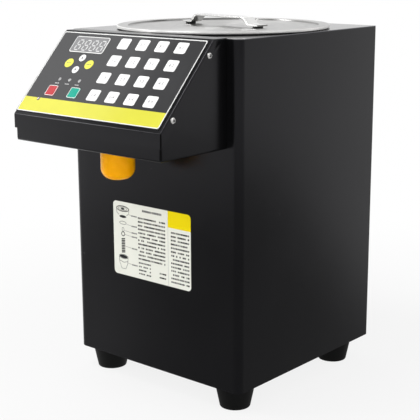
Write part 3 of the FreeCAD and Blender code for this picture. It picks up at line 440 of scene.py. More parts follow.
# a node's own shape with its corners joined, flat faces whole and outer edges softened
def softenedPiece(name, node, material, slotName, edge=0.0, smooth=30.0):
    work = bmesh.new()
    work.from_mesh(nodes[node].data)
    dropMeetingFaces(work)
    bmesh.ops.remove_doubles(work, verts=work.verts, dist=weld)
    bmesh.ops.dissolve_limit(work, angle_limit=math.radians(flatTurn), verts=work.verts, edges=work.edges)
    made = addObject(name, meshOf(name, work))
    smoothMesh(made.data, smooth)
    if edge:
        bevel = made.modifiers.new("edges", "BEVEL")
        bevel.width = edge
        bevel.segments = 2
        bevel.limit_method = "ANGLE"
        bevel.angle_limit = math.radians(edgeTurn)
        bevel.harden_normals = True
        bakeModifiers(made)
    return finishPiece(made, bodyOf(node), material, slotName, (node,))


# a softened piece whose look also says how its edges are
def lookPiece(name, node, materialName, look, slotName, **where):
    make = metalMaterial if "fineness" in look else surfaceMaterial
    material = make(materialName, look, **where)
    return softenedPiece(name, node, material, slotName, look.get("edge", 0.0), look.get("smooth", 30.0))


# a rounded rectangle's outline about the origin
def roundedOutline(halfWidth, halfHeight, corner, steps=6):
    points = []
    for i, (sx, sy) in enumerate(square):
        middle = Vector((sx * (halfWidth - corner), sy * (halfHeight - corner)))
        for k in range(steps + 1):
            angle = math.radians(90 * i + 90 * k / steps)
            points.append(middle + corner * Vector((math.cos(angle), math.sin(angle))))
    return points


def ellipse(x, y, radiusX, radiusY, steps=28):
    angles = [math.radians(360 * i / steps) for i in range(steps)]
    return [(x + radiusX * math.cos(a), y + radiusY * math.sin(a)) for a in angles]


# a skin over rings of points, capped at both ends unless it closes on itself
def skinRings(work, rings, closed=False):
    rings = [[work.verts.new(point) for point in ring] for ring in rings]
    links = list(zip(rings, rings[1:]))
    if closed:
        links.append((rings[-1], rings[0]))
    else:
        work.faces.new(list(reversed(rings[0])))
        work.faces.new(rings[-1])
    for low, high in links:
        for k in range(len(low)):
            after = (k + 1) % len(low)
            work.faces.new((low[k], low[after], high[after], high[k]))


# one flat printed stroke along points
def inkStroke(work, points, width, closed=False):
    count = len(points)
    rings = []
    for i in range(count):
        before = points[i - 1] if closed or i > 0 else points[i]
        after = points[(i + 1) % count] if closed or i < count - 1 else points[i]
        along = (Vector(after) - Vector(before)).normalized()
        across = Vector((-along.y, along.x)) * width / 2
        left, right = Vector(points[i]) + across, Vector(points[i]) - across
        rings.append([(*left, 0), (*right, 0), (*right, inkDepth), (*left, inkDepth)])
    skinRings(work, rings, closed)


def inkShape(work, points):
    skinRings(work, [[(x, y, height) for x, y in points] for height in (0, inkDepth)])


# cabinet: semi-gloss black powder coat on sheet steel
paintLook = {"colour": (0.0034, 0.0034, 0.0037), "shade": 0.8, "grain": 850.0, "smudge": 7.0,
             "rough": (0.19, 0.26), "depth": 0.012 * mm, "ior": 1.345, "tint": (0.93, 0.92, 1.0),
             "speckSize": 0.011, "speckColour": (0.25, 0.25, 0.25), "edge": 0.35 * mm}
topPaintLook = {**paintLook, "rough": (0.06, 0.1), "ior": 2.0}


def makeCabinet():
    lookPiece("cabinetTop", "top_plate", "blackTopCoat", topPaintLook, "black_paint")
    paint = surfaceMaterial("blackPowderCoat", paintLook)
    panels = {"cabinetWrap": "body_shell", "cabinetBase": "base_plate", "rearCover": "rear_cover",
              "headBox": "head_housing", "headCover": "head_cover"}
    for name, node in panels.items():
        softenedPiece(name, node, paint, "black_paint", paintLook["edge"])
    print("cabinet made")


# dull black strips along the head's folded front corners: painted shade of the folds
foldShadeLook = {"colour": (0.003, 0.003, 0.003), "shade": 0.6, "grain": 1200.0, "smudge": 60.0,
            "rough": (0.6, 0.75), "depth": 0.02 * mm, "ior": 1.15,
            "half": 0.8 * mm, "sunk": 0.1 * mm, "lift": 0.04 * mm, "steps": 6}
# node, its fold's radius, the strip's base and top over the node's base
shadedFolds = (("head_cover", 1.6 * mm, 0.75 * mm, 15.6 * mm),
             ("head_housing", 2.5 * mm, 2.6 * mm, 14.9 * mm))


# one strip of painted shade round a fold: an arc of the strip's width, drawn out upward
def foldShadeStrip(work, side, node, radius, base, top):
    low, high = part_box(node)
    steps, spread = foldShadeLook["steps"], foldShadeLook["half"] / radius
    turns = [math.radians(45) + spread * (2 * step / steps - 1) for step in range(steps + 1)]
    rises = [foldShadeLook["lift"] * min(1, 2 * math.sin(math.pi * step / steps)) for step in range(steps + 1)]
    reaches = [radius + rise for rise in rises] + [radius - foldShadeLook["sunk"]] * len(turns)
    outline = [(side * (high.x - radius + reach * math.sin(turn)), low.y + radius - reach * math.cos(turn))
               for reach, turn in zip(reaches, turns + turns[::-1])]
    skinRings(work, [[(x, y, low.z + level) for x, y in outline] for level in (base, top)])


def makeFoldShade():
    def build(work):
        for side in (-1, 1):
            for fold in shadedFolds:
                foldShadeStrip(work, side, *fold)

    # dark strips laid in the head's front folds as painted shade
    black = surfaceMaterial("paintedFoldShade", foldShadeLook)
    builtPiece("headCornerBeads", build, "cabinet", black, "black_paint", smooth=30)
    print("corner beads made")


# feet: moulded black rubber, held by plated screws
footLook = {"colour": (0.004, 0.004, 0.004), "shade": 0.7, "grain": 1500.0, "smudge": 40.0,
            "rough": (0.42, 0.55), "depth": 0.03 * mm, "ior": 1.3, "edge": 0.9 * mm}
zincLook = {"grain": "ground", "fineness": 2500.0, "colour": (0.62, 0.62, 0.6), "shade": 0.75,
            "rough": (0.28, 0.42), "depth": 0.01 * mm, "edge": 0.1 * mm}


def makeFeet():
    lookPiece("rubberFeet", "rubber_feet", "footRubber", footLook, "foot_rubber")
    lookPiece("footScrews", "foot_screws", "zincPlate", zincLook, "steel_screws")
    print("feet made")


# screws: one pan head with a cross recess, set on every screw place
nickelLook = {"grain": "spun", "fineness": 4000.0, "colour": (0.95, 0.94, 0.92), "shade": 0.9,
              "rough": (0.12, 0.18), "depth": 0.004 * mm, "metal": 0.65}
shadowLook = {"colour": (0.02, 0.02, 0.02), "shade": 0.7, "grain": 2500.0, "smudge": 400.0,
              "rough": (0.5, 0.6), "depth": 0.01 * mm}
# crown: shares of the head's radius where its round is cut; fill: the height over the recess's tip of a dark
# cross, painted shade in the recess
screwLook = {"head": 3.4 * mm, "height": 2.1 * mm, "shank": 2.0 * mm, "length": 7.0 * mm,
             "recess": 2.2 * mm, "slot": 0.75 * mm, "depth": 1.6 * mm, "recessBase": 0.55,
             "chamfer": 0.12 * mm, "crown": (0.72, 0.86, 0.95, 1.0), "lowest": 0.25,
             "fill": 1.2 * mm, "fillDepth": 0.3 * mm, "fillShares": (0.8, 0.84), "seed": 5}


# the outline of the recess, as a cross
def crossOutline():
    reach, slot = screwLook["recess"], screwLook["slot"]
    cross = []
    for i in range(4):
        a = math.radians(90 * i)
        along, across = Vector((math.cos(a), math.sin(a), 0)), Vector((-math.sin(a), math.cos(a), 0))
        tip, inner = along * reach, (along + across) * slot
        cross += [tip - across * slot, tip + across * slot, inner]
    return cross


def crossRing(share, z):
    return [(p.x * share, p.y * share, z) for p in crossOutline()]


# painted shade in the recess: a thin dark cross a little under its rim
def recessShadeMesh(work):
    top = screwLook["height"] - screwLook["depth"] + screwLook["fill"]
    base, rim = screwLook["fillShares"]
    skinRings(work, [crossRing(base, top - screwLook["fillDepth"]), crossRing(rim, top)])


# the cross, then rounds that grow out to the rim and down the shank
def screwMesh(work):
    head, height = screwLook["head"], screwLook["height"]
    angles = [math.atan2(p.y, p.x) for p in crossOutline()]

    def roundRing(radius, z):
        return [(radius * math.cos(a), radius * math.sin(a), z) for a in angles]

    rings = [crossRing(screwLook["recessBase"], height - screwLook["depth"]),
             crossRing(1.0, height - screwLook["chamfer"])]
    for share in screwLook["crown"]:
        drop = height * (1 - math.sqrt(max(0.0, 1 - share ** 3)))
        rings.append(roundRing(head * share, max(height - drop, height * screwLook["lowest"])))
    rings += [roundRing(head, 0.0), roundRing(screwLook["shank"], 0.0),
              roundRing(screwLook["shank"], -screwLook["length"])]
    skinRings(work, rings)


# copies of one screw on points, each turned to the direction that its point carries
def makeScrewTree():
    tree, given, out = newGroup("screwsOnPoints", {"Geometry": "Geometry", "Screw": "Object",
                                                   "Material": "Material", "Seed": "Int"},
                                ("Geometry",), "Geometry")
    source = newNode("GeometryNodeObjectInfo", {"Object": given["Screw"]})
    outward = tree.nodes.new("GeometryNodeInputNamedAttribute")
    outward.data_type = "FLOAT_VECTOR"
    outward.inputs["Name"].default_value = "outward"
    align = newNode("FunctionNodeAlignRotationToVector", {"Vector": outward.outputs["Attribute"]}, axis="Z")
    turn = newNode("FunctionNodeRandomValue", {3: math.pi / 2, "Seed": given["Seed"]}, data_type="FLOAT")
    spin = newNode("FunctionNodeAxisAngleToRotation", {"Axis": (0, 0, 1), "Angle": turn.outputs[1]})
    both = newNode("FunctionNodeRotateRotation", {0: align.outputs[0], 1: spin.outputs[0]},
                   rotation_space="LOCAL")
    place = newNode("GeometryNodeInstanceOnPoints", {
        "Points": given["Geometry"], "Instance": source.outputs["Geometry"], "Rotation": both.outputs[0]})
    return paintCopies(tree, place, given, out)


# the separate solids of a mesh, each as its corners' places
def looseSolids(work):
    seen = set()
    for start in work.verts:
        if start.index in seen:
            continue
        seen.add(start.index)
        solid, queue = [], [start]
        while queue:
            corner = queue.pop()
            solid.append(corner.co.copy())
            for link in corner.link_edges:
                other = link.other_vert(corner)
                if other.index not in seen:
                    seen.add(other.index)
                    queue.append(other)
        yield solid


# each screw's place and direction, found from the solids of the screws' node
def screwPlaces():
    work = bmesh.new()
    work.from_mesh(nodes["cabinet_screws"].data)
    bmesh.ops.remove_doubles(work, verts=work.verts, dist=weld)
    places = []
    for solid in looseSolids(work):
        low, high = (Vector([pick(p[i] for p in solid) for i in range(3)]) for pick in (min, max))
        size, centre = high - low, (low + high) / 2
        axis = max(range(3), key=lambda i: size[i])
        sign = 1 if axis == 1 or centre.x > 0 else -1
        outward = Vector([sign if i == axis else 0 for i in range(3)])
        places.append((centre + outward * (size[axis] / 2 - screwLook["height"]), outward))
    work.free()
    return places


# one mesh set on every screw place
def screwPiece(name, tree, places, build, material, stands=()):
    mesh = bpy.data.meshes.new(name)
    mesh.from_pydata([p for p, d in places], [], [])
    directions = mesh.attributes.new("outward", "FLOAT_VECTOR", "POINT")
    directions.data.foreach_set("vector", [c for p, d in places for c in d])
    points = addObject(name, mesh)
    maker = addObject("screwMaker", meshFrom("screwMaker", build, smooth=35))
    runTree(points, tree, {"Screw": maker, "Material": material, "Seed": screwLook["seed"]})
    bpy.data.objects.remove(maker)
    return finishPiece(points, "cabinet", material, "nickel_screws", stands)


def makeScrews():
    places = screwPlaces()
    tree = makeScrewTree()
    nickel = metalMaterial("brightNickel", nickelLook)
    screwPiece("panHeadScrews", tree, places, screwMesh, nickel, ("cabinet_screws",))
    # a dark cross in every recess, as painted shade
    screwPiece("screwRecesses", tree, places, recessShadeMesh, surfaceMaterial("recessShadow", shadowLook))
    print("screws made:", len(places))


# keypad overlay: dark film with a white border line and a yellow band
overlayLook = {"colour": (0.043, 0.043, 0.045), "shade": 0.92, "grain": 1600.0, "smudge": 12.0,
               "rough": (0.07, 0.1), "depth": 0.003 * mm, "thickness": 1.0 * mm, "edge": 0.12 * mm,
               "border": (0.78, 0.78, 0.77), "band": (0.62, 0.598, 0.064), "bandTop": 25.6 * mm,
               "borderInsets": (0.5 * mm, 1.7 * mm), "borderCorners": (2.6 * mm, 1.8 * mm)}
rivetLook = {"grain": "spun", "fineness": 4000.0, "colour": (0.5, 0.46, 0.44), "shade": 0.7,
             "rough": (0.15, 0.22), "depth": 0.004 * mm}


def overlayColour(vector):
    halfWidth, halfLength = slopeHalf("keypad_overlay", overlayLook["thickness"])
    outer, inner = (boxMask(vector, centreOf("keypad_overlay").x, foldInset + halfLength,
                            halfWidth - inset, halfLength - inset, corner)
                    for inset, corner in zip(overlayLook["borderInsets"], overlayLook["borderCorners"]))
    inBand = mathNode("LESS_THAN", splitVector(vector)[1], overlayLook["bandTop"])
    field = mixColour(inBand, overlayLook["colour"], overlayLook["band"])
    bordered = mixColour(inner, overlayLook["border"], field)
    return mixColour(outer, overlayLook["colour"], bordered)


def makeOverlay():
    lookPiece("keypadOverlay", "keypad_overlay", "keypadFilm", overlayLook, "overlay_film",
              colour=overlayColour, place=slopePlace)
    lookPiece("overlayRivet", "overlay_rivet", "rivetSteel", rivetLook, "nickel_screws")
    print("overlay made")


# keys: embossed caps with printed marks; dashes and the arrow's corners are measured from the key's middle
keyLook = {"white": (0.83, 0.83, 0.825), "red": (0.46, 0.038, 0.046), "green": (0.0, 0.33, 0.24),
           "yellow": (0.76, 0.735, 0.09), "outline": (0.82, 0.81, 0.79), "ink": (0.1, 0.1, 0.11),
           "thickness": 0.75 * mm, "corner": 2.2 * mm, "edge": 0.28 * mm, "crown": 0.12 * mm,
           "crownSteps": ((0.35, 0.3), (0.7, 0.0)), "numeral": 5.6 * mm, "numeralDepth": 0.01 * mm,
           "rimInset": 0.55 * mm, "rimCorner": 1.7 * mm, "rimWidth": 0.7 * mm,
           "dashes": (-2.6 * mm, 0.0, 2.6 * mm), "dashHalf": 0.8 * mm, "dashHeight": 1.1 * mm,
           "arrow": ((0, 2.0 * mm), (-1.9 * mm, -1.3 * mm), (1.9 * mm, -1.3 * mm))}
keySurface = {"shade": 0.94, "grain": 1500.0, "smudge": 60.0, "rough": (0.22, 0.3), "depth": 0.004 * mm}
roundKeys = ("set_key", "mode_key", "arrow_up_key", "arrow_down_key")


def keyPaint(name, tone):
    return surfaceMaterial(name, {**keySurface, "colour": tone})


def keyCap(node, name, material, slotName):
    halfWidth, halfLength = slopeHalf(node, keyLook["thickness"])
    half, edge, crown = keyLook["thickness"] / 2, keyLook["edge"], keyLook["crown"]
    isRound = node in roundKeys
    corner = halfWidth if isRound else keyLook["corner"]
    levels = [(0, -half), (0, half - edge)]
    for i in range(1, 5):
        angle = math.radians(90 * i / 4)
        levels.append((edge * (1 - math.cos(angle)), half - edge + (edge - crown) * math.sin(angle)))
    levels += [(halfLength * share, half - crown * drop) for share, drop in keyLook["crownSteps"]]
    rings = []
    for inset, height in levels:
        outline = roundedOutline(halfWidth - inset, halfLength - inset, corner - min(inset, corner * 0.8),
                                 10 if isRound else 6)
        rings.append([(x, y, height) for x, y in outline])
    builtPiece(name, lambda work: skinRings(work, rings), bodyOf(node), material, slotName,
               onSlope(node), 40, (node,))


def keyFace(node):
    return onSlope(node, keyLook["thickness"] / 2 + inkLift)


def numeralMesh(text, place):
    curve = bpy.data.curves.new("numeral", "FONT")
    curve.body = text
    curve.size = keyLook["numeral"]
    curve.align_x = "CENTER"
    curve.align_y = "CENTER"
    curve.extrude = keyLook["numeralDepth"]
    curve.resolution_u = 3
    maker = addObject("numeralMaker", curve)
    mesh = evaluatedMesh(maker)
    bpy.data.objects.remove(maker)
    mesh.transform(place)
    return mesh


def rimMark(work, node):
    halfWidth, halfLength = slopeHalf(node, keyLook["thickness"])
    inset = keyLook["rimInset"]
    points = roundedOutline(halfWidth - inset, halfLength - inset, keyLook["rimCorner"])
    inkStroke(work, points, keyLook["rimWidth"], True)


def dashMark(work, node):
    for x in keyLook["dashes"]:
        inkStroke(work, [(x - keyLook["dashHalf"], 0), (x + keyLook["dashHalf"], 0)], keyLook["dashHeight"])


def arrowMark(work, node):
    way = 1 if node == "arrow_up_key" else -1
    inkShape(work, [(x, y * way) for x, y in keyLook["arrow"]])


markedKeys = (("stop_key", "redStopKey", "red", rimMark, "Rim"),
              ("start_key", "greenStartKey", "green", rimMark, "Rim"),
              ("set_key", "yellowSetKey", "yellow", dashMark, "Mark"),
              ("mode_key", "yellowModeKey", "yellow", dashMark, "Mark"),
              ("arrow_up_key", "arrowUpKey", "white", arrowMark, "Mark"),
              ("arrow_down_key", "arrowDownKey", "white", arrowMark, "Mark"))


def makeKeys():
    caps = {tone: keyPaint(tone + "Key", keyLook[tone]) for tone in ("white", "red", "green", "yellow")}
    outline = keyPaint("keyOutline", keyLook["outline"])
    ink = keyPaint("greyInk", keyLook["ink"])
    for column in range(1, 5):
        for row in range(1, 5):
            node = "key_%d_%d" % (column, row)
            keyCap(node, "numberKey_%d_%d" % (column, row), caps["white"], "white_key")
            number = addObject("keyNumber_%d_%d" % (column, row),
                               numeralMesh("%d-%d" % (column, row), keyFace(node)))
            finishPiece(number, bodyOf(node), ink, "white_key")
    for node, name, tone, mark, kind in markedKeys:
        slotName = tone + "_key"
        keyCap(node, name, caps[tone], slotName)
        builtPiece(name + kind, lambda work: mark(work, node), bodyOf(node),
                   outline if kind == "Rim" else ink, slotName, keyFace(node))
    print("keys made")


# display: smoked film over four unlit digits, and three small lamps with a printed dash row under each
displayLook = {"film": (0.215, 0.215, 0.22), "frame": (0.78, 0.78, 0.77), "digit": (0.62, 0.62, 0.62),
               "thickness": 1.2 * mm, "frameWidth": 1.0 * mm, "frameCorner": 2.0 * mm, "digits": 4,
               "digitHeight": 14.6 * mm, "digitWidth": 7.4 * mm, "stroke": 1.5 * mm, "gap": 0.35 * mm,
               "pitch": 12.4 * mm, "lean": 0.14, "shift": (1.6 * mm, -1.2 * mm)}
displaySurface = {"shade": 0.9, "grain": 1800.0, "smudge": 30.0, "rough": (0.14, 0.2),
                  "depth": 0.003 * mm, "edge": 0.15 * mm}
lampLook = {"colour": (0.4, 0.4, 0.4), "shade": 0.6, "grain": 900.0, "smudge": 300.0,
            "rough": (0.08, 0.14), "depth": 0.004 * mm, "coat": 0.5, "radius": 2.4 * mm,
            "dashes": 4, "dashPitch": 1.7 * mm, "dashShare": 0.75, "dashHeight": 1.1 * mm,
            "dashDrop": 6.2 * mm, "edge": 0.5 * mm}
boardPlasticLook = {"colour": (0.04, 0.04, 0.045), "shade": 0.8, "grain": 1500.0, "smudge": 60.0,
                    "rough": (0.4, 0.5), "depth": 0.01 * mm}


def windowColour(vector):
    centre = slopeCentre("display_window")
    halfWidth, halfLength = slopeHalf("display_window", displayLook["thickness"])
    inset = displayLook["frameWidth"]
    inner = boxMask(vector, centre.x, centre.y, halfWidth - inset, halfLength - inset,
                    displayLook["frameCorner"])
    return mixColour(inner, displayLook["frame"], displayLook["film"])


def digitStrokes(work):
    tall, wide = displayLook["digitHeight"] / 2, displayLook["digitWidth"] / 2
    bars = [((-1, 1), (1, 1)), ((-1, 0), (1, 0)), ((-1, -1), (1, -1)),
            ((-1, 0), (-1, 1)), ((1, 0), (1, 1)), ((-1, -1), (-1, 0)), ((1, -1), (1, 0))]
    for digit in range(displayLook["digits"]):
        shift = (digit - (displayLook["digits"] - 1) / 2) * displayLook["pitch"]
        for bar in bars:
            start, end = (Vector((x * wide, y * tall)) for x, y in bar)
            inset = (end - start).normalized() * (displayLook["stroke"] / 2 + displayLook["gap"])
            points = [(p.x + shift + p.y * displayLook["lean"], p.y) for p in (start + inset, end - inset)]
            inkStroke(work, points, displayLook["stroke"])


def lampDashes(work):
    middle = slopeCentre("status_leds")
    low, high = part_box("status_leds")
    halfRow = (high.x - low.x) / 2 - lampLook["radius"]
    pitch, y = lampLook["dashPitch"], middle.y - lampLook["dashDrop"]
    for side in (-1, 0, 1):
        for i in range(lampLook["dashes"]):
            left = middle.x + side * halfRow + (i - lampLook["dashes"] / 2) * pitch
            inkStroke(work, [(left, y), (left + pitch * lampLook["dashShare"], y)], lampLook["dashHeight"])


def makeDisplay():
    lookPiece("displayWindow", "display_window", "smokedFilm", displaySurface, "window_film",
              colour=windowColour, place=slopePlace)
    digit = surfaceMaterial("unlitDigit", {**displaySurface, "colour": displayLook["digit"]})
    place = onSlope("display_window", displayLook["thickness"] / 2 + inkLift, displayLook["shift"])
    builtPiece("displayDigits", digitStrokes, "cabinet", digit, "window_film", place)
    lookPiece("statusLamps", "status_leds", "lampLens", lampLook, "led_lens")
    face = slopeCentre("keypad_overlay").z + overlayLook["thickness"] / 2 + inkLift
    builtPiece("lampMarks", lampDashes, "cabinet", digit, "overlay_film",
               slopePlace @ Matrix.Translation((0, 0, face)))
    lookPiece("displayModule", "display_module", "displayCase", boardPlasticLook, "display_body")
    print("display made")


# front label: white film with plain grey bars and a drawing of the valve's parts
labelLook = {"colour": (0.79, 0.795, 0.72), "shade": 0.96, "grain": 1400.0, "smudge": 14.0,
             "rough": (0.28, 0.36), "depth": 0.004 * mm, "ior": 1.2,
             "yellow": (0.845, 0.675, 0.0), "line": (0.4, 0.4, 0.4), "lineHalf": 0.22 * mm,
             "divider": 25.7 * mm, "yellowBase": 73.5 * mm, "edge": 0.08 * mm,
             "ink": (0.012, 0.012, 0.014), "paleInk": (0.12, 0.12, 0.12)}
# in mm: x of the block's middle, height of its middle, width, height, columns, rows, bar height; and a seed
labelBlocks = {"labelTitle": (-0.5, 87.0, 30.0, 0.001, 12, 1, 2.7, 3),
               "labelTextUpper": (-1.5, 51.5, 43.0, 51.5, 18, 12, 2.1, 11),
               "labelTextLower": (-13.5, 13.5, 18.0, 13.8, 8, 4, 1.9, 23),
               "labelTextSide": (16.5, 10.5, 8.5, 5.2, 4, 2, 1.9, 41),
               "labelNotes": (45.0, 37.0, 27.0, 61.5, 11, 14, 2.1, 31)}
barLook = {"shortest": 0.55, "longest": 0.97, "kept": 0.88, "seedStep": 7.0}


def labelColour(vector):
    x, y = splitVector(vector)[:2]
    right = mathNode("GREATER_THAN", x, labelLook["divider"])
    above = mathNode("GREATER_THAN", y, labelLook["yellowBase"])
    block = mathNode("MULTIPLY", right, above)
    near = mathNode("ABSOLUTE", mathNode("SUBTRACT", x, labelLook["divider"]))
    line = mathNode("LESS_THAN", near, labelLook["lineHalf"])
    white = mixColour(line, labelLook["colour"], labelLook["line"])
    return mixColour(block, white, labelLook["yellow"])


# rows of plain bars of random length, in the label's plane
def makeBarTree():
    tree, given, out = newGroup("barRows", {
        "Width": "Float", "Height": "Float", "Columns": "Int", "Rows": "Int", "Bar Height": "Float",
        "Depth": "Float", "Seed": "Int", "Material": "Material"}, ("Geometry",), "Geometry")
    grid = newNode("GeometryNodeMeshGrid", {
        "Size X": given["Width"], "Size Y": given["Height"],
        "Vertices X": given["Columns"], "Vertices Y": given["Rows"]})
    length = newNode("FunctionNodeRandomValue", {
        2: barLook["shortest"], 3: barLook["longest"], "Seed": given["Seed"]}, data_type="FLOAT").outputs[1]
    slots = mathNode("MAXIMUM", mathNode("SUBTRACT", given["Columns"], 1.0), 1.0)
    pitch = mathNode("DIVIDE", given["Width"], slots)
    size = joinVector(mathNode("MULTIPLY", pitch, length), given["Bar Height"], given["Depth"])
    seed = mathNode("ADD", given["Seed"], barLook["seedStep"])
    kept = newNode("FunctionNodeRandomValue", {"Probability": barLook["kept"], "Seed": seed},
                   data_type="BOOLEAN").outputs[3]
    bar = tree.nodes.new("GeometryNodeMeshCube")
    place = newNode("GeometryNodeInstanceOnPoints", {
        "Points": grid.outputs["Mesh"], "Instance": bar.outputs["Mesh"], "Scale": size, "Selection": kept})
    return paintCopies(tree, place, given, out)


# in mm from the drawing's axis and the label's base: cap, ring, plug, spring and cup, one above the other
drawing = {"x": -50.0, "thin": 0.55, "thick": 1.1,
           # height, half width, half height, line
           "rings": ((85.0, 10.6, 3.3, "thick"), (85.0, 7.6, 1.9, "thin"), (67.0, 5.8, 1.9, "thin"),
                     (58.5, 1.7, 2.6, "thin"), (52.9, 2.7, 2.6, "thick"), (23.5, 7.8, 2.7, "thin")),
           # height, half width, half height
           "discs": ((85.0, 3.4, 1.3), (75.0, 6.0, 1.7), (23.5, 7.0, 2.2)),
           "lines": (((-10.6, 84.6), (-10.2, 79.4), (-6.2, 76.8)),
                     ((10.6, 84.6), (10.2, 79.4), (6.2, 76.8)),
                     ((-7.8, 23.5), (-7.0, 15.5), (-3.4, 8.0), (3.4, 8.0), (7.0, 15.5), (7.8, 23.5)),
                     ((-7.3, 18.0), (0.0, 16.1), (7.3, 18.0))),
           "spring": {"base": 29.5, "top": 46.5, "coils": 9, "half": 3.1, "rise": 0.6, "line": 1.5},
           # height and start of each leader; then where all end, their drop and line
           "leaders": ((79.0, 10.8), (66.0, 6.4), (57.5, 2.4), (52.5, 3.2), (37.5, 3.6), (16.5, 7.6)),
           "leaderEnd": 14.0, "leaderDrop": 0.8, "leaderLine": 0.4,
           # a row of dashes at the end of each leader
           "words": {"start": 14.8, "pitch": 2.4, "length": 1.9, "drop": 1.0, "line": 1.7, "count": 4}}


def drawLine(work, points, width, closed=False):
    inkStroke(work, [((drawing["x"] + x) * mm, y * mm) for x, y in points], width * mm, closed)


def drawValveParts(work):
    for height, wide, tall, line in drawing["rings"]:
        drawLine(work, ellipse(0, height, wide, tall), drawing[line], True)
    for height, wide, tall in drawing["discs"]:
        inkShape(work, [(x * mm, y * mm) for x, y in ellipse(drawing["x"], height, wide, tall)])
    for points in drawing["lines"]:
        drawLine(work, points, drawing["thin"])
    spring = drawing["spring"]
    half, rise = spring["half"], spring["rise"]
    for i in range(spring["coils"]):
        y = spring["base"] + (spring["top"] - spring["base"]) * i / (spring["coils"] - 1)
        drawLine(work, [(-half, y - rise), (half, y + rise)], spring["line"])


def drawLeaders(work):
    words = drawing["words"]
    for y, start in drawing["leaders"]:
        end = (drawing["leaderEnd"], y - drawing["leaderDrop"])
        drawLine(work, [(start, y), end], drawing["leaderLine"])
        for i in range(words["count"]):
            left, level = words["start"] + words["pitch"] * i, y - words["drop"]
            drawLine(work, [(left, level), (left + words["length"], level)], words["line"])


def makeLabel():
    lookPiece("frontLabel", "front_label", "labelFilm", labelLook, "label_film",
              colour=labelColour, place=labelPlace)
    ink = keyPaint("labelInk", labelLook["ink"])
    paleInk = keyPaint("labelPaleInk", labelLook["paleInk"])
    bars = makeBarTree()
    for name, (x, y, width, height, columns, rows, tall, seed) in labelBlocks.items():
        made = runTree(addObject(name, bpy.data.meshes.new(name)), bars, {
            "Width": width * mm, "Height": height * mm, "Columns": columns, "Rows": rows,
            "Bar Height": tall * mm, "Depth": inkDepth, "Seed": seed, "Material": ink})
        made.data.transform(labelPlace @ Matrix.Translation((x * mm, y * mm, inkLift)))
        finishPiece(made, "cabinet", paleInk if name == "labelTitle" else ink, "label_film")
    place = labelPlace @ Matrix.Translation((0, 0, inkLift))
    builtPiece("labelDrawing", drawValveParts, "cabinet", ink, "label_film", place)
    builtPiece("labelLeaders", drawLeaders, "cabinet", paleInk, "label_film", place)
    print("label made")


# nozzle cup and valve
nozzleLook = {"colour": (1.0, 0.42, 0.001), "shade": 0.92, "grain": 700.0, "smudge": 55.0,
              "rough": (0.22, 0.3), "depth": 0.008 * mm, "ior": 1.2, "glow": 0.2, "glowDepth": 6.0 * mm,
              "smooth": 40}
valveLook = {"colour": (0.78, 0.78, 0.75), "shade": 0.9, "grain": 900.0, "smudge": 60.0,
             "rough": (0.25, 0.35), "depth": 0.006 * mm, "bodyEdge": 0.4 * mm, "plungerEdge": 0.3 * mm}
sealLook = {"colour": (0.35, 0.04, 0.025), "shade": 0.8, "grain": 1200.0, "smudge": 120.0,
            "rough": (0.45, 0.55), "depth": 0.008 * mm, "smooth": 60}
springLook = {"grain": "ground", "fineness": 3500.0, "colour": (0.68, 0.67, 0.65), "shade": 0.85,
              "rough": (0.15, 0.25), "depth": 0.003 * mm,
              "wire": 0.55 * mm, "turns": 5, "turnSteps": 32, "sides": 10}


def springCoil(work):
    low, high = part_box("valve_spring")
    wire, sides, turnSteps = springLook["wire"], springLook["sides"], springLook["turnSteps"]
    radius = (high.x - low.x) / 2 - wire
    centre = (low + high) / 2
    base, top = low.z + wire, high.z - wire
    steps = springLook["turns"] * turnSteps
    section = [2 * math.pi * k / sides for k in range(sides)]
    rings = []
    for i in range(steps + 1):
        angle = 2 * math.pi * i / turnSteps
        outward = Vector((math.cos(angle), math.sin(angle), 0))
        middle = Vector((centre.x, centre.y, base + (top - base) * i / steps)) + outward * radius
        rings.append([middle + (outward * math.cos(turn) + Vector((0, 0, math.sin(turn)))) * wire
                      for turn in section])
    skinRings(work, rings)


def makeNozzle():
    lookPiece("nozzleCup", "nozzle_cup", "orangePlastic", nozzleLook, "orange_plastic")
    plastic = surfaceMaterial("valvePlastic", valveLook)
    softenedPiece("valveBody", "valve_body", plastic, "valve_plastic", valveLook["bodyEdge"])
    plungerEdge = valveLook["plungerEdge"]
    softenedPiece("valvePlunger", "valve_plunger", plastic, "plunger_plastic", plungerEdge)
    lookPiece("valveRing", "valve_o_ring", "sealSilicone", sealLook, "seal_rubber")
    steel = metalMaterial("springSteel", springLook)
    coil = builtPiece("valveSpring", springCoil, "nozzle", steel, "spring_steel",
                      smooth=50, stands=("valve_spring",))
    # the spring's middle and the plunger's travel are read, and the coil gets a mesh of its own
    centre = centreOf("valve_spring")
    travel = max(jointOf("valve_open")["range_m"])
    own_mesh(coil)
    print("nozzle and valve made")


# tank, lid and handle; the lid's rim and hem start at these radii, and are tinted lighter than the spun face
# as painted highlights, the hem also made less metallic so that it lights up
lidLook = {"grain": "spun", "fineness": 2600.0, "colour": (0.44, 0.437, 0.43), "shade": 0.88,
           "rough": (0.3, 0.36), "depth": 0.002 * mm, "anisotropic": 0.85, "edgeBlend": 0.3 * mm,
           "rimFrom": 120.0 * mm, "rimColour": (0.46, 0.457, 0.448),
           "hemFrom": 132.2 * mm, "hemColour": (0.77, 0.765, 0.75), "hemMetal": 0.3}
tankLook = {"grain": "spun", "fineness": 1800.0, "colour": (0.6, 0.6, 0.585), "shade": 0.88,
            "rough": (0.26, 0.36), "depth": 0.004 * mm, "anisotropic": 0.5}
chromeLook = {"grain": "ground", "fineness": 2600.0, "colour": (0.8, 0.8, 0.79), "shade": 0.94,
              "rough": (0.07, 0.12), "depth": 0.001 * mm, "edge": 0.5 * mm}
blackPlasticLook = {"colour": (0.014, 0.014, 0.014), "shade": 0.8, "grain": 1300.0, "smudge": 50.0,
                    "rough": (0.38, 0.5), "depth": 0.015 * mm, "edge": 0.5 * mm}


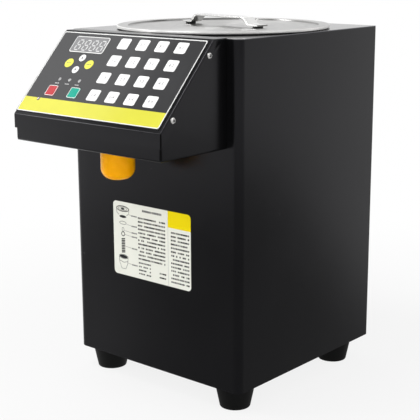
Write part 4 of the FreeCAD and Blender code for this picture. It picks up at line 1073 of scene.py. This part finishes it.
def makeLid():
    axis = Matrix.Translation((*centreOf("tank_lid").xy, 0))
    lookPiece("tankLid", "tank_lid", "spunLidSteel", lidLook, "lid_steel", place=axis)
    lookPiece("syrupTank", "syrup_tank", "tankSteel", tankLook, "tank_steel", place=axis)
    lookPiece("lidHandle", "lid_handle", "polishedStrip", chromeLook, "handle_chrome")
    lookPiece("handlePads", "lid_handle_pads", "blackPlastic", blackPlasticLook, "black_plastic")
    print("lid and tank made")


# inlet: three blades in the socket, and the rocker's two marks
inletLook = {"socketDrop": 12.0 * mm, "socketDepth": 17.0 * mm, "clear": 0.05 * mm, "pinLength": 11.5 * mm,
             "pinPitch": 7.0 * mm, "pinShift": 2.0 * mm, "pinHalf": (1.06 * mm, 2.06 * mm), "tip": 0.9 * mm,
             "tipInset": 0.6 * mm, "markRise": 5.2 * mm, "barHalf": 1.9 * mm, "ringRadius": 1.8 * mm,
             "markWidth": 0.7 * mm, "markClear": 1.0 * mm, "edge": 0.25 * mm}
rockerLook = {"colour": (0.45, 0.02, 0.02), "shade": 0.85, "grain": 900.0, "smudge": 80.0,
              "rough": (0.2, 0.3), "depth": 0.006 * mm, "edge": 0.2 * mm}


def inletPins(work):
    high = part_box("power_inlet")[1]
    centre = centreOf("power_inlet")
    start = high.y - inletLook["socketDepth"] + inletLook["clear"]
    end = start + inletLook["pinLength"]
    for i in (-1, 0, 1):
        x = centre.x + i * inletLook["pinPitch"]
        z = centre.z - inletLook["socketDrop"] + inletLook["pinShift"] * (1 if i == 0 else -1)
        rings = []
        for y, inset in ((start, 0.0), (end - inletLook["tip"], 0.0), (end, inletLook["tipInset"])):
            wide, tall = (half - inset for half in inletLook["pinHalf"])
            rings.append([(x + sx * wide, y, z + sz * tall) for sx, sz in square])
        skinRings(work, rings)


def rockerMarks(work):
    rise, bar, radius = inletLook["markRise"], inletLook["barHalf"], inletLook["ringRadius"]
    inkStroke(work, [(0, -rise - bar), (0, -rise + bar)], inletLook["markWidth"])
    inkStroke(work, ellipse(0, rise, radius, radius), inletLook["markWidth"], True)


# the marks follow the rocker's two tilted faces
def makeRockerMarks():
    centre = centreOf("power_rocker")
    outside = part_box("power_rocker")[1].y + inletLook["markClear"]
    place = Matrix.Translation((centre.x, outside, centre.z)) @ Matrix.Rotation(math.radians(-90), 4, "X")
    mesh = meshFrom("rockerMarks", rockerMarks, place)
    rocker = nodes["power_rocker"].data
    faces = BVHTree.FromPolygons([v.co for v in rocker.vertices], [p.vertices for p in rocker.polygons])
    for vertex in mesh.vertices:
        start = Vector((vertex.co.x, outside + inletLook["markClear"], vertex.co.z))
        hit = faces.ray_cast(start, Vector((0, -1, 0)))[0]
        vertex.co.y = hit.y + inkLift + vertex.co.y - outside
    ink = keyPaint("whiteInk", keyLook["outline"])
    finishPiece(addObject("rockerMarks", mesh), bodyOf("power_rocker"), ink, "rocker_plastic")


def makeInlet():
    inletSurface = {**blackPlasticLook, "edge": inletLook["edge"]}
    lookPiece("mainsInlet", "power_inlet", "inletPlastic", inletSurface, "black_plastic")
    lookPiece("mainsRocker", "power_rocker", "rockerPlastic", rockerLook, "rocker_plastic")
    builtPiece("inletPins", inletPins, "cabinet", metalMaterial("bladeNickel", nickelLook), "black_plastic")
    makeRockerMarks()
    print("inlet made")


# pump, heater, boards and hoses inside
castLook = {"grain": "ground", "fineness": 1500.0, "colour": (0.55, 0.55, 0.54), "shade": 0.8,
            "rough": (0.3, 0.42), "depth": 0.01 * mm}
boardLook = {"colour": (0.015, 0.14, 0.06), "shade": 0.75, "grain": 600.0, "smudge": 90.0,
             "rough": (0.25, 0.4), "depth": 0.02 * mm}
hoseLook = {"colour": (0.7, 0.7, 0.66), "shade": 0.9, "grain": 500.0, "smudge": 30.0,
            "rough": (0.25, 0.35), "depth": 0.01 * mm, "glow": 0.3, "glowDepth": 3.0 * mm}


steelPieces = (("heaterBand", "heater_band", "heater_steel"), ("driveGear", "drive_gear", "gear_steel"),
               ("drivenGear", "driven_gear", "gear_steel"), ("pumpBody", "pump_body", "pump_steel"),
               ("pumpCover", "pump_cover", "pump_steel"), ("pumpMotor", "pump_motor", "motor_steel"),
               ("pumpBracket", "pump_bracket", "bracket_steel"),
               ("powerSupply", "power_supply", "supply_case"),
               ("tankOutlet", "tank_outlet", "tank_steel"))


def makeInside():
    steel = metalMaterial("plainSteel", castLook)
    for name, node, slotName in steelPieces:
        softenedPiece(name, node, steel, slotName)
    lookPiece("controlBoard", "control_board", "circuitBoard", boardLook, "circuit_board")
    silicone = surfaceMaterial("hoseSilicone", hoseLook)
    for name, node in (("suctionHose", "suction_hose"), ("deliveryHose", "delivery_hose")):
        softenedPiece(name, node, silicone, "hose_silicone")
    print("inner parts made")


# floor, light and camera
# each change of brightness: where it starts and ends, then the brightness at both
floorLook = {"colour": (0.62, 0.62, 0.62), "size": 12.0, "rough": 0.9, "white": (0.3, 0.95, 0.85, 1.0)}
# the floor in reflections: bright behind and to the left, dark at the camera's side
mirrorLook = {"behind": (-0.65, 0.76), "back": (0.02, 0.35, 0.28, 0.82), "left": (-0.2, 0.05, 1.0, 0.0),
              "leftNear": (-0.15, 0.0, 0.0, 0.25), "leftFar": (0.85, 1.4, 0.0, 0.45),
              "horizon": (1.15, 2.15, 0.0, 0.88)}
skyLook = {"diffuse": 0.66, "seen": 1.0, "fade": (0.15, 0.6, 0.88, 1.0),
           "side": (0.619, -0.621, 0.478), "dark": (0.0, 0.01, 1.0, 0.05),
           "overhead": (0.1, 0.2, 0.0, 0.5), "risen": (0.15, 0.4, 0.0, 1.0)}
lamps = {
    "softTop": {"place": (-0.25, -0.7, 1.86), "aim": (0, 0, 0.3), "size": 0.6, "watts": 14.5},
    "softLeft": {"place": (-1.8, -1.6, 1.4), "aim": (0, 0, 0.25), "size": 1.0, "watts": 22.5},
    "softBack": {"place": (-1.15, 1.4, 1.6), "aim": (0, 0, 0.4), "size": 1.2, "watts": 2.5},
    "softRight": {"place": (2.2, 0.6, 1.3), "aim": (0, 0, 0.25), "size": 1.2, "watts": 6},
    "softFront": {"place": (1.2, -1.7, 0.4), "aim": (0, 0, 0.25), "size": 1.0, "watts": 15, "fill": True}}
cameraLook = {"place": (0.88647, -1.01704, 0.53888), "yaw": 40.52, "pitch": 13.45, "roll": -0.23,
              "lens": 93.65}


# how bright each place of the floor looks in a reflection
def mirroredFloor(vector, distance):
    x, y = splitVector(vector)[:2]
    behind = mathNode("MULTIPLY", x, mirrorLook["behind"][0])
    behind = mathNode("MULTIPLY_ADD", y, mirrorLook["behind"][1], behind)
    near = mapRange(behind, *mirrorLook["leftNear"], True)
    far = mapRange(distance, *mirrorLook["leftFar"], True)
    left = mathNode("MULTIPLY", mathNode("ADD", near, far), mapRange(x, *mirrorLook["left"], True))
    back = mapRange(behind, *mirrorLook["back"], True)
    horizon = mapRange(distance, *mirrorLook["horizon"], True)
    mirrored = mathNode("ADD", mathNode("MAXIMUM", back, horizon), left)
    return mathNode("MINIMUM", mirrored, 1.0)


# a pale floor that keeps the object's shadow and fades to white away from it
def makeFloor():
    work = bmesh.new()
    half = floorLook["size"] / 2
    work.faces.new([work.verts.new((x * half, y * half, 0)) for x, y in square])
    floor = addObject("paleFloor", meshOf("paleFloor", work))
    material, tree, shader = newMaterial("paleFloor")
    setInputs(shader, {"Base Color": floorLook["colour"], "Roughness": floorLook["rough"],
                       "Specular IOR Level": 0.0})
    path = tree.nodes.new("ShaderNodeLightPath").outputs
    vector = localPlace(tree)
    distance = vectorLength(vector)
    white = mapRange(distance, *floorLook["white"], True)
    seen = mathNode("MULTIPLY", path["Is Camera Ray"], white)
    strength = mathNode("MAXIMUM", path["Is Camera Ray"], mirroredFloor(vector, distance))
    glow = newNode("ShaderNodeEmission", {"Strength": strength})
    share = mathNode("ADD", seen, path["Is Glossy Ray"])
    blend = newNode("ShaderNodeMixShader", {0: share, 1: shader.outputs[0], 2: glow.outputs[0]})
    setInputs(tree.nodes["Material Output"], {"Surface": blend.outputs[0]})
    floor.data.materials.append(material)


# white where it's seen, plainer as light, with a dark side in reflections
def makeSky():
    world = bpy.data.worlds.new("studio")
    bpy.context.scene.world = world
    world.use_nodes = True
    tree = world.node_tree
    path = tree.nodes.new("ShaderNodeLightPath").outputs
    seen = mathNode("MAXIMUM", path["Is Camera Ray"], path["Is Glossy Ray"])
    seen = mathNode("MAXIMUM", seen, path["Is Transmission Ray"])
    strength = mapRange(seen, 0.0, 1.0, skyLook["diffuse"], skyLook["seen"])
    sky = tree.nodes.new("ShaderNodeTexCoord").outputs["Generated"]
    height = splitVector(sky)[2]
    dim = mapRange(height, *skyLook["fade"], True)
    side = newNode("ShaderNodeVectorMath", {0: sky, 1: skyLook["side"]},
                   operation="DOT_PRODUCT").outputs["Value"]
    dark = mapRange(side, *skyLook["dark"], True)
    overhead = mapRange(side, *skyLook["overhead"], True)
    risen = mapRange(height, *skyLook["risen"], True)
    dim = mathNode("MINIMUM", dim, mathNode("MULTIPLY_ADD", overhead, risen, dark))
    dim = mathNode("MAXIMUM", dim, mathNode("SUBTRACT", 1.0, path["Is Glossy Ray"]))
    setInputs(tree.nodes["Background"], {"Color": (1, 1, 1),
                                         "Strength": mathNode("MULTIPLY", strength, dim)})


def makeLamps():
    for name, lamp in lamps.items():
        light = bpy.data.lights.new(name, "AREA")
        light.size = lamp["size"]
        light.energy = lamp["watts"]
        made = addObject(name, light)
        made.visible_glossy = not lamp.get("fill")
        made.location = lamp["place"]
        aim = Vector(lamp["aim"]) - Vector(lamp["place"])
        made.rotation_euler = aim.to_track_quat("-Z", "Y").to_euler()


def makeStage():
    makeFloor()
    makeSky()
    makeLamps()
    bpy.context.scene.view_settings.view_transform = "Standard"
    print("stage made")


def makeCamera():
    yaw, pitch, roll = (math.radians(cameraLook[k]) for k in ("yaw", "pitch", "roll"))
    camera = bpy.data.cameras.new("camera")
    camera.lens = cameraLook["lens"]
    made = addObject("camera", camera)
    turn = Matrix.Rotation(yaw, 4, "Z") @ Matrix.Rotation(math.radians(90) - pitch, 4, "X")
    made.matrix_world = Matrix.Translation(cameraLook["place"]) @ turn @ Matrix.Rotation(roll, 4, "Z")
    bpy.context.scene.camera = made
    print("camera set")


makeCamera()
makeStage()
makeCabinet()
makeFoldShade()
makeFeet()
makeScrews()
makeOverlay()
makeKeys()
makeDisplay()
makeLabel()
makeNozzle()
makeLid()
makeInlet()
makeInside()
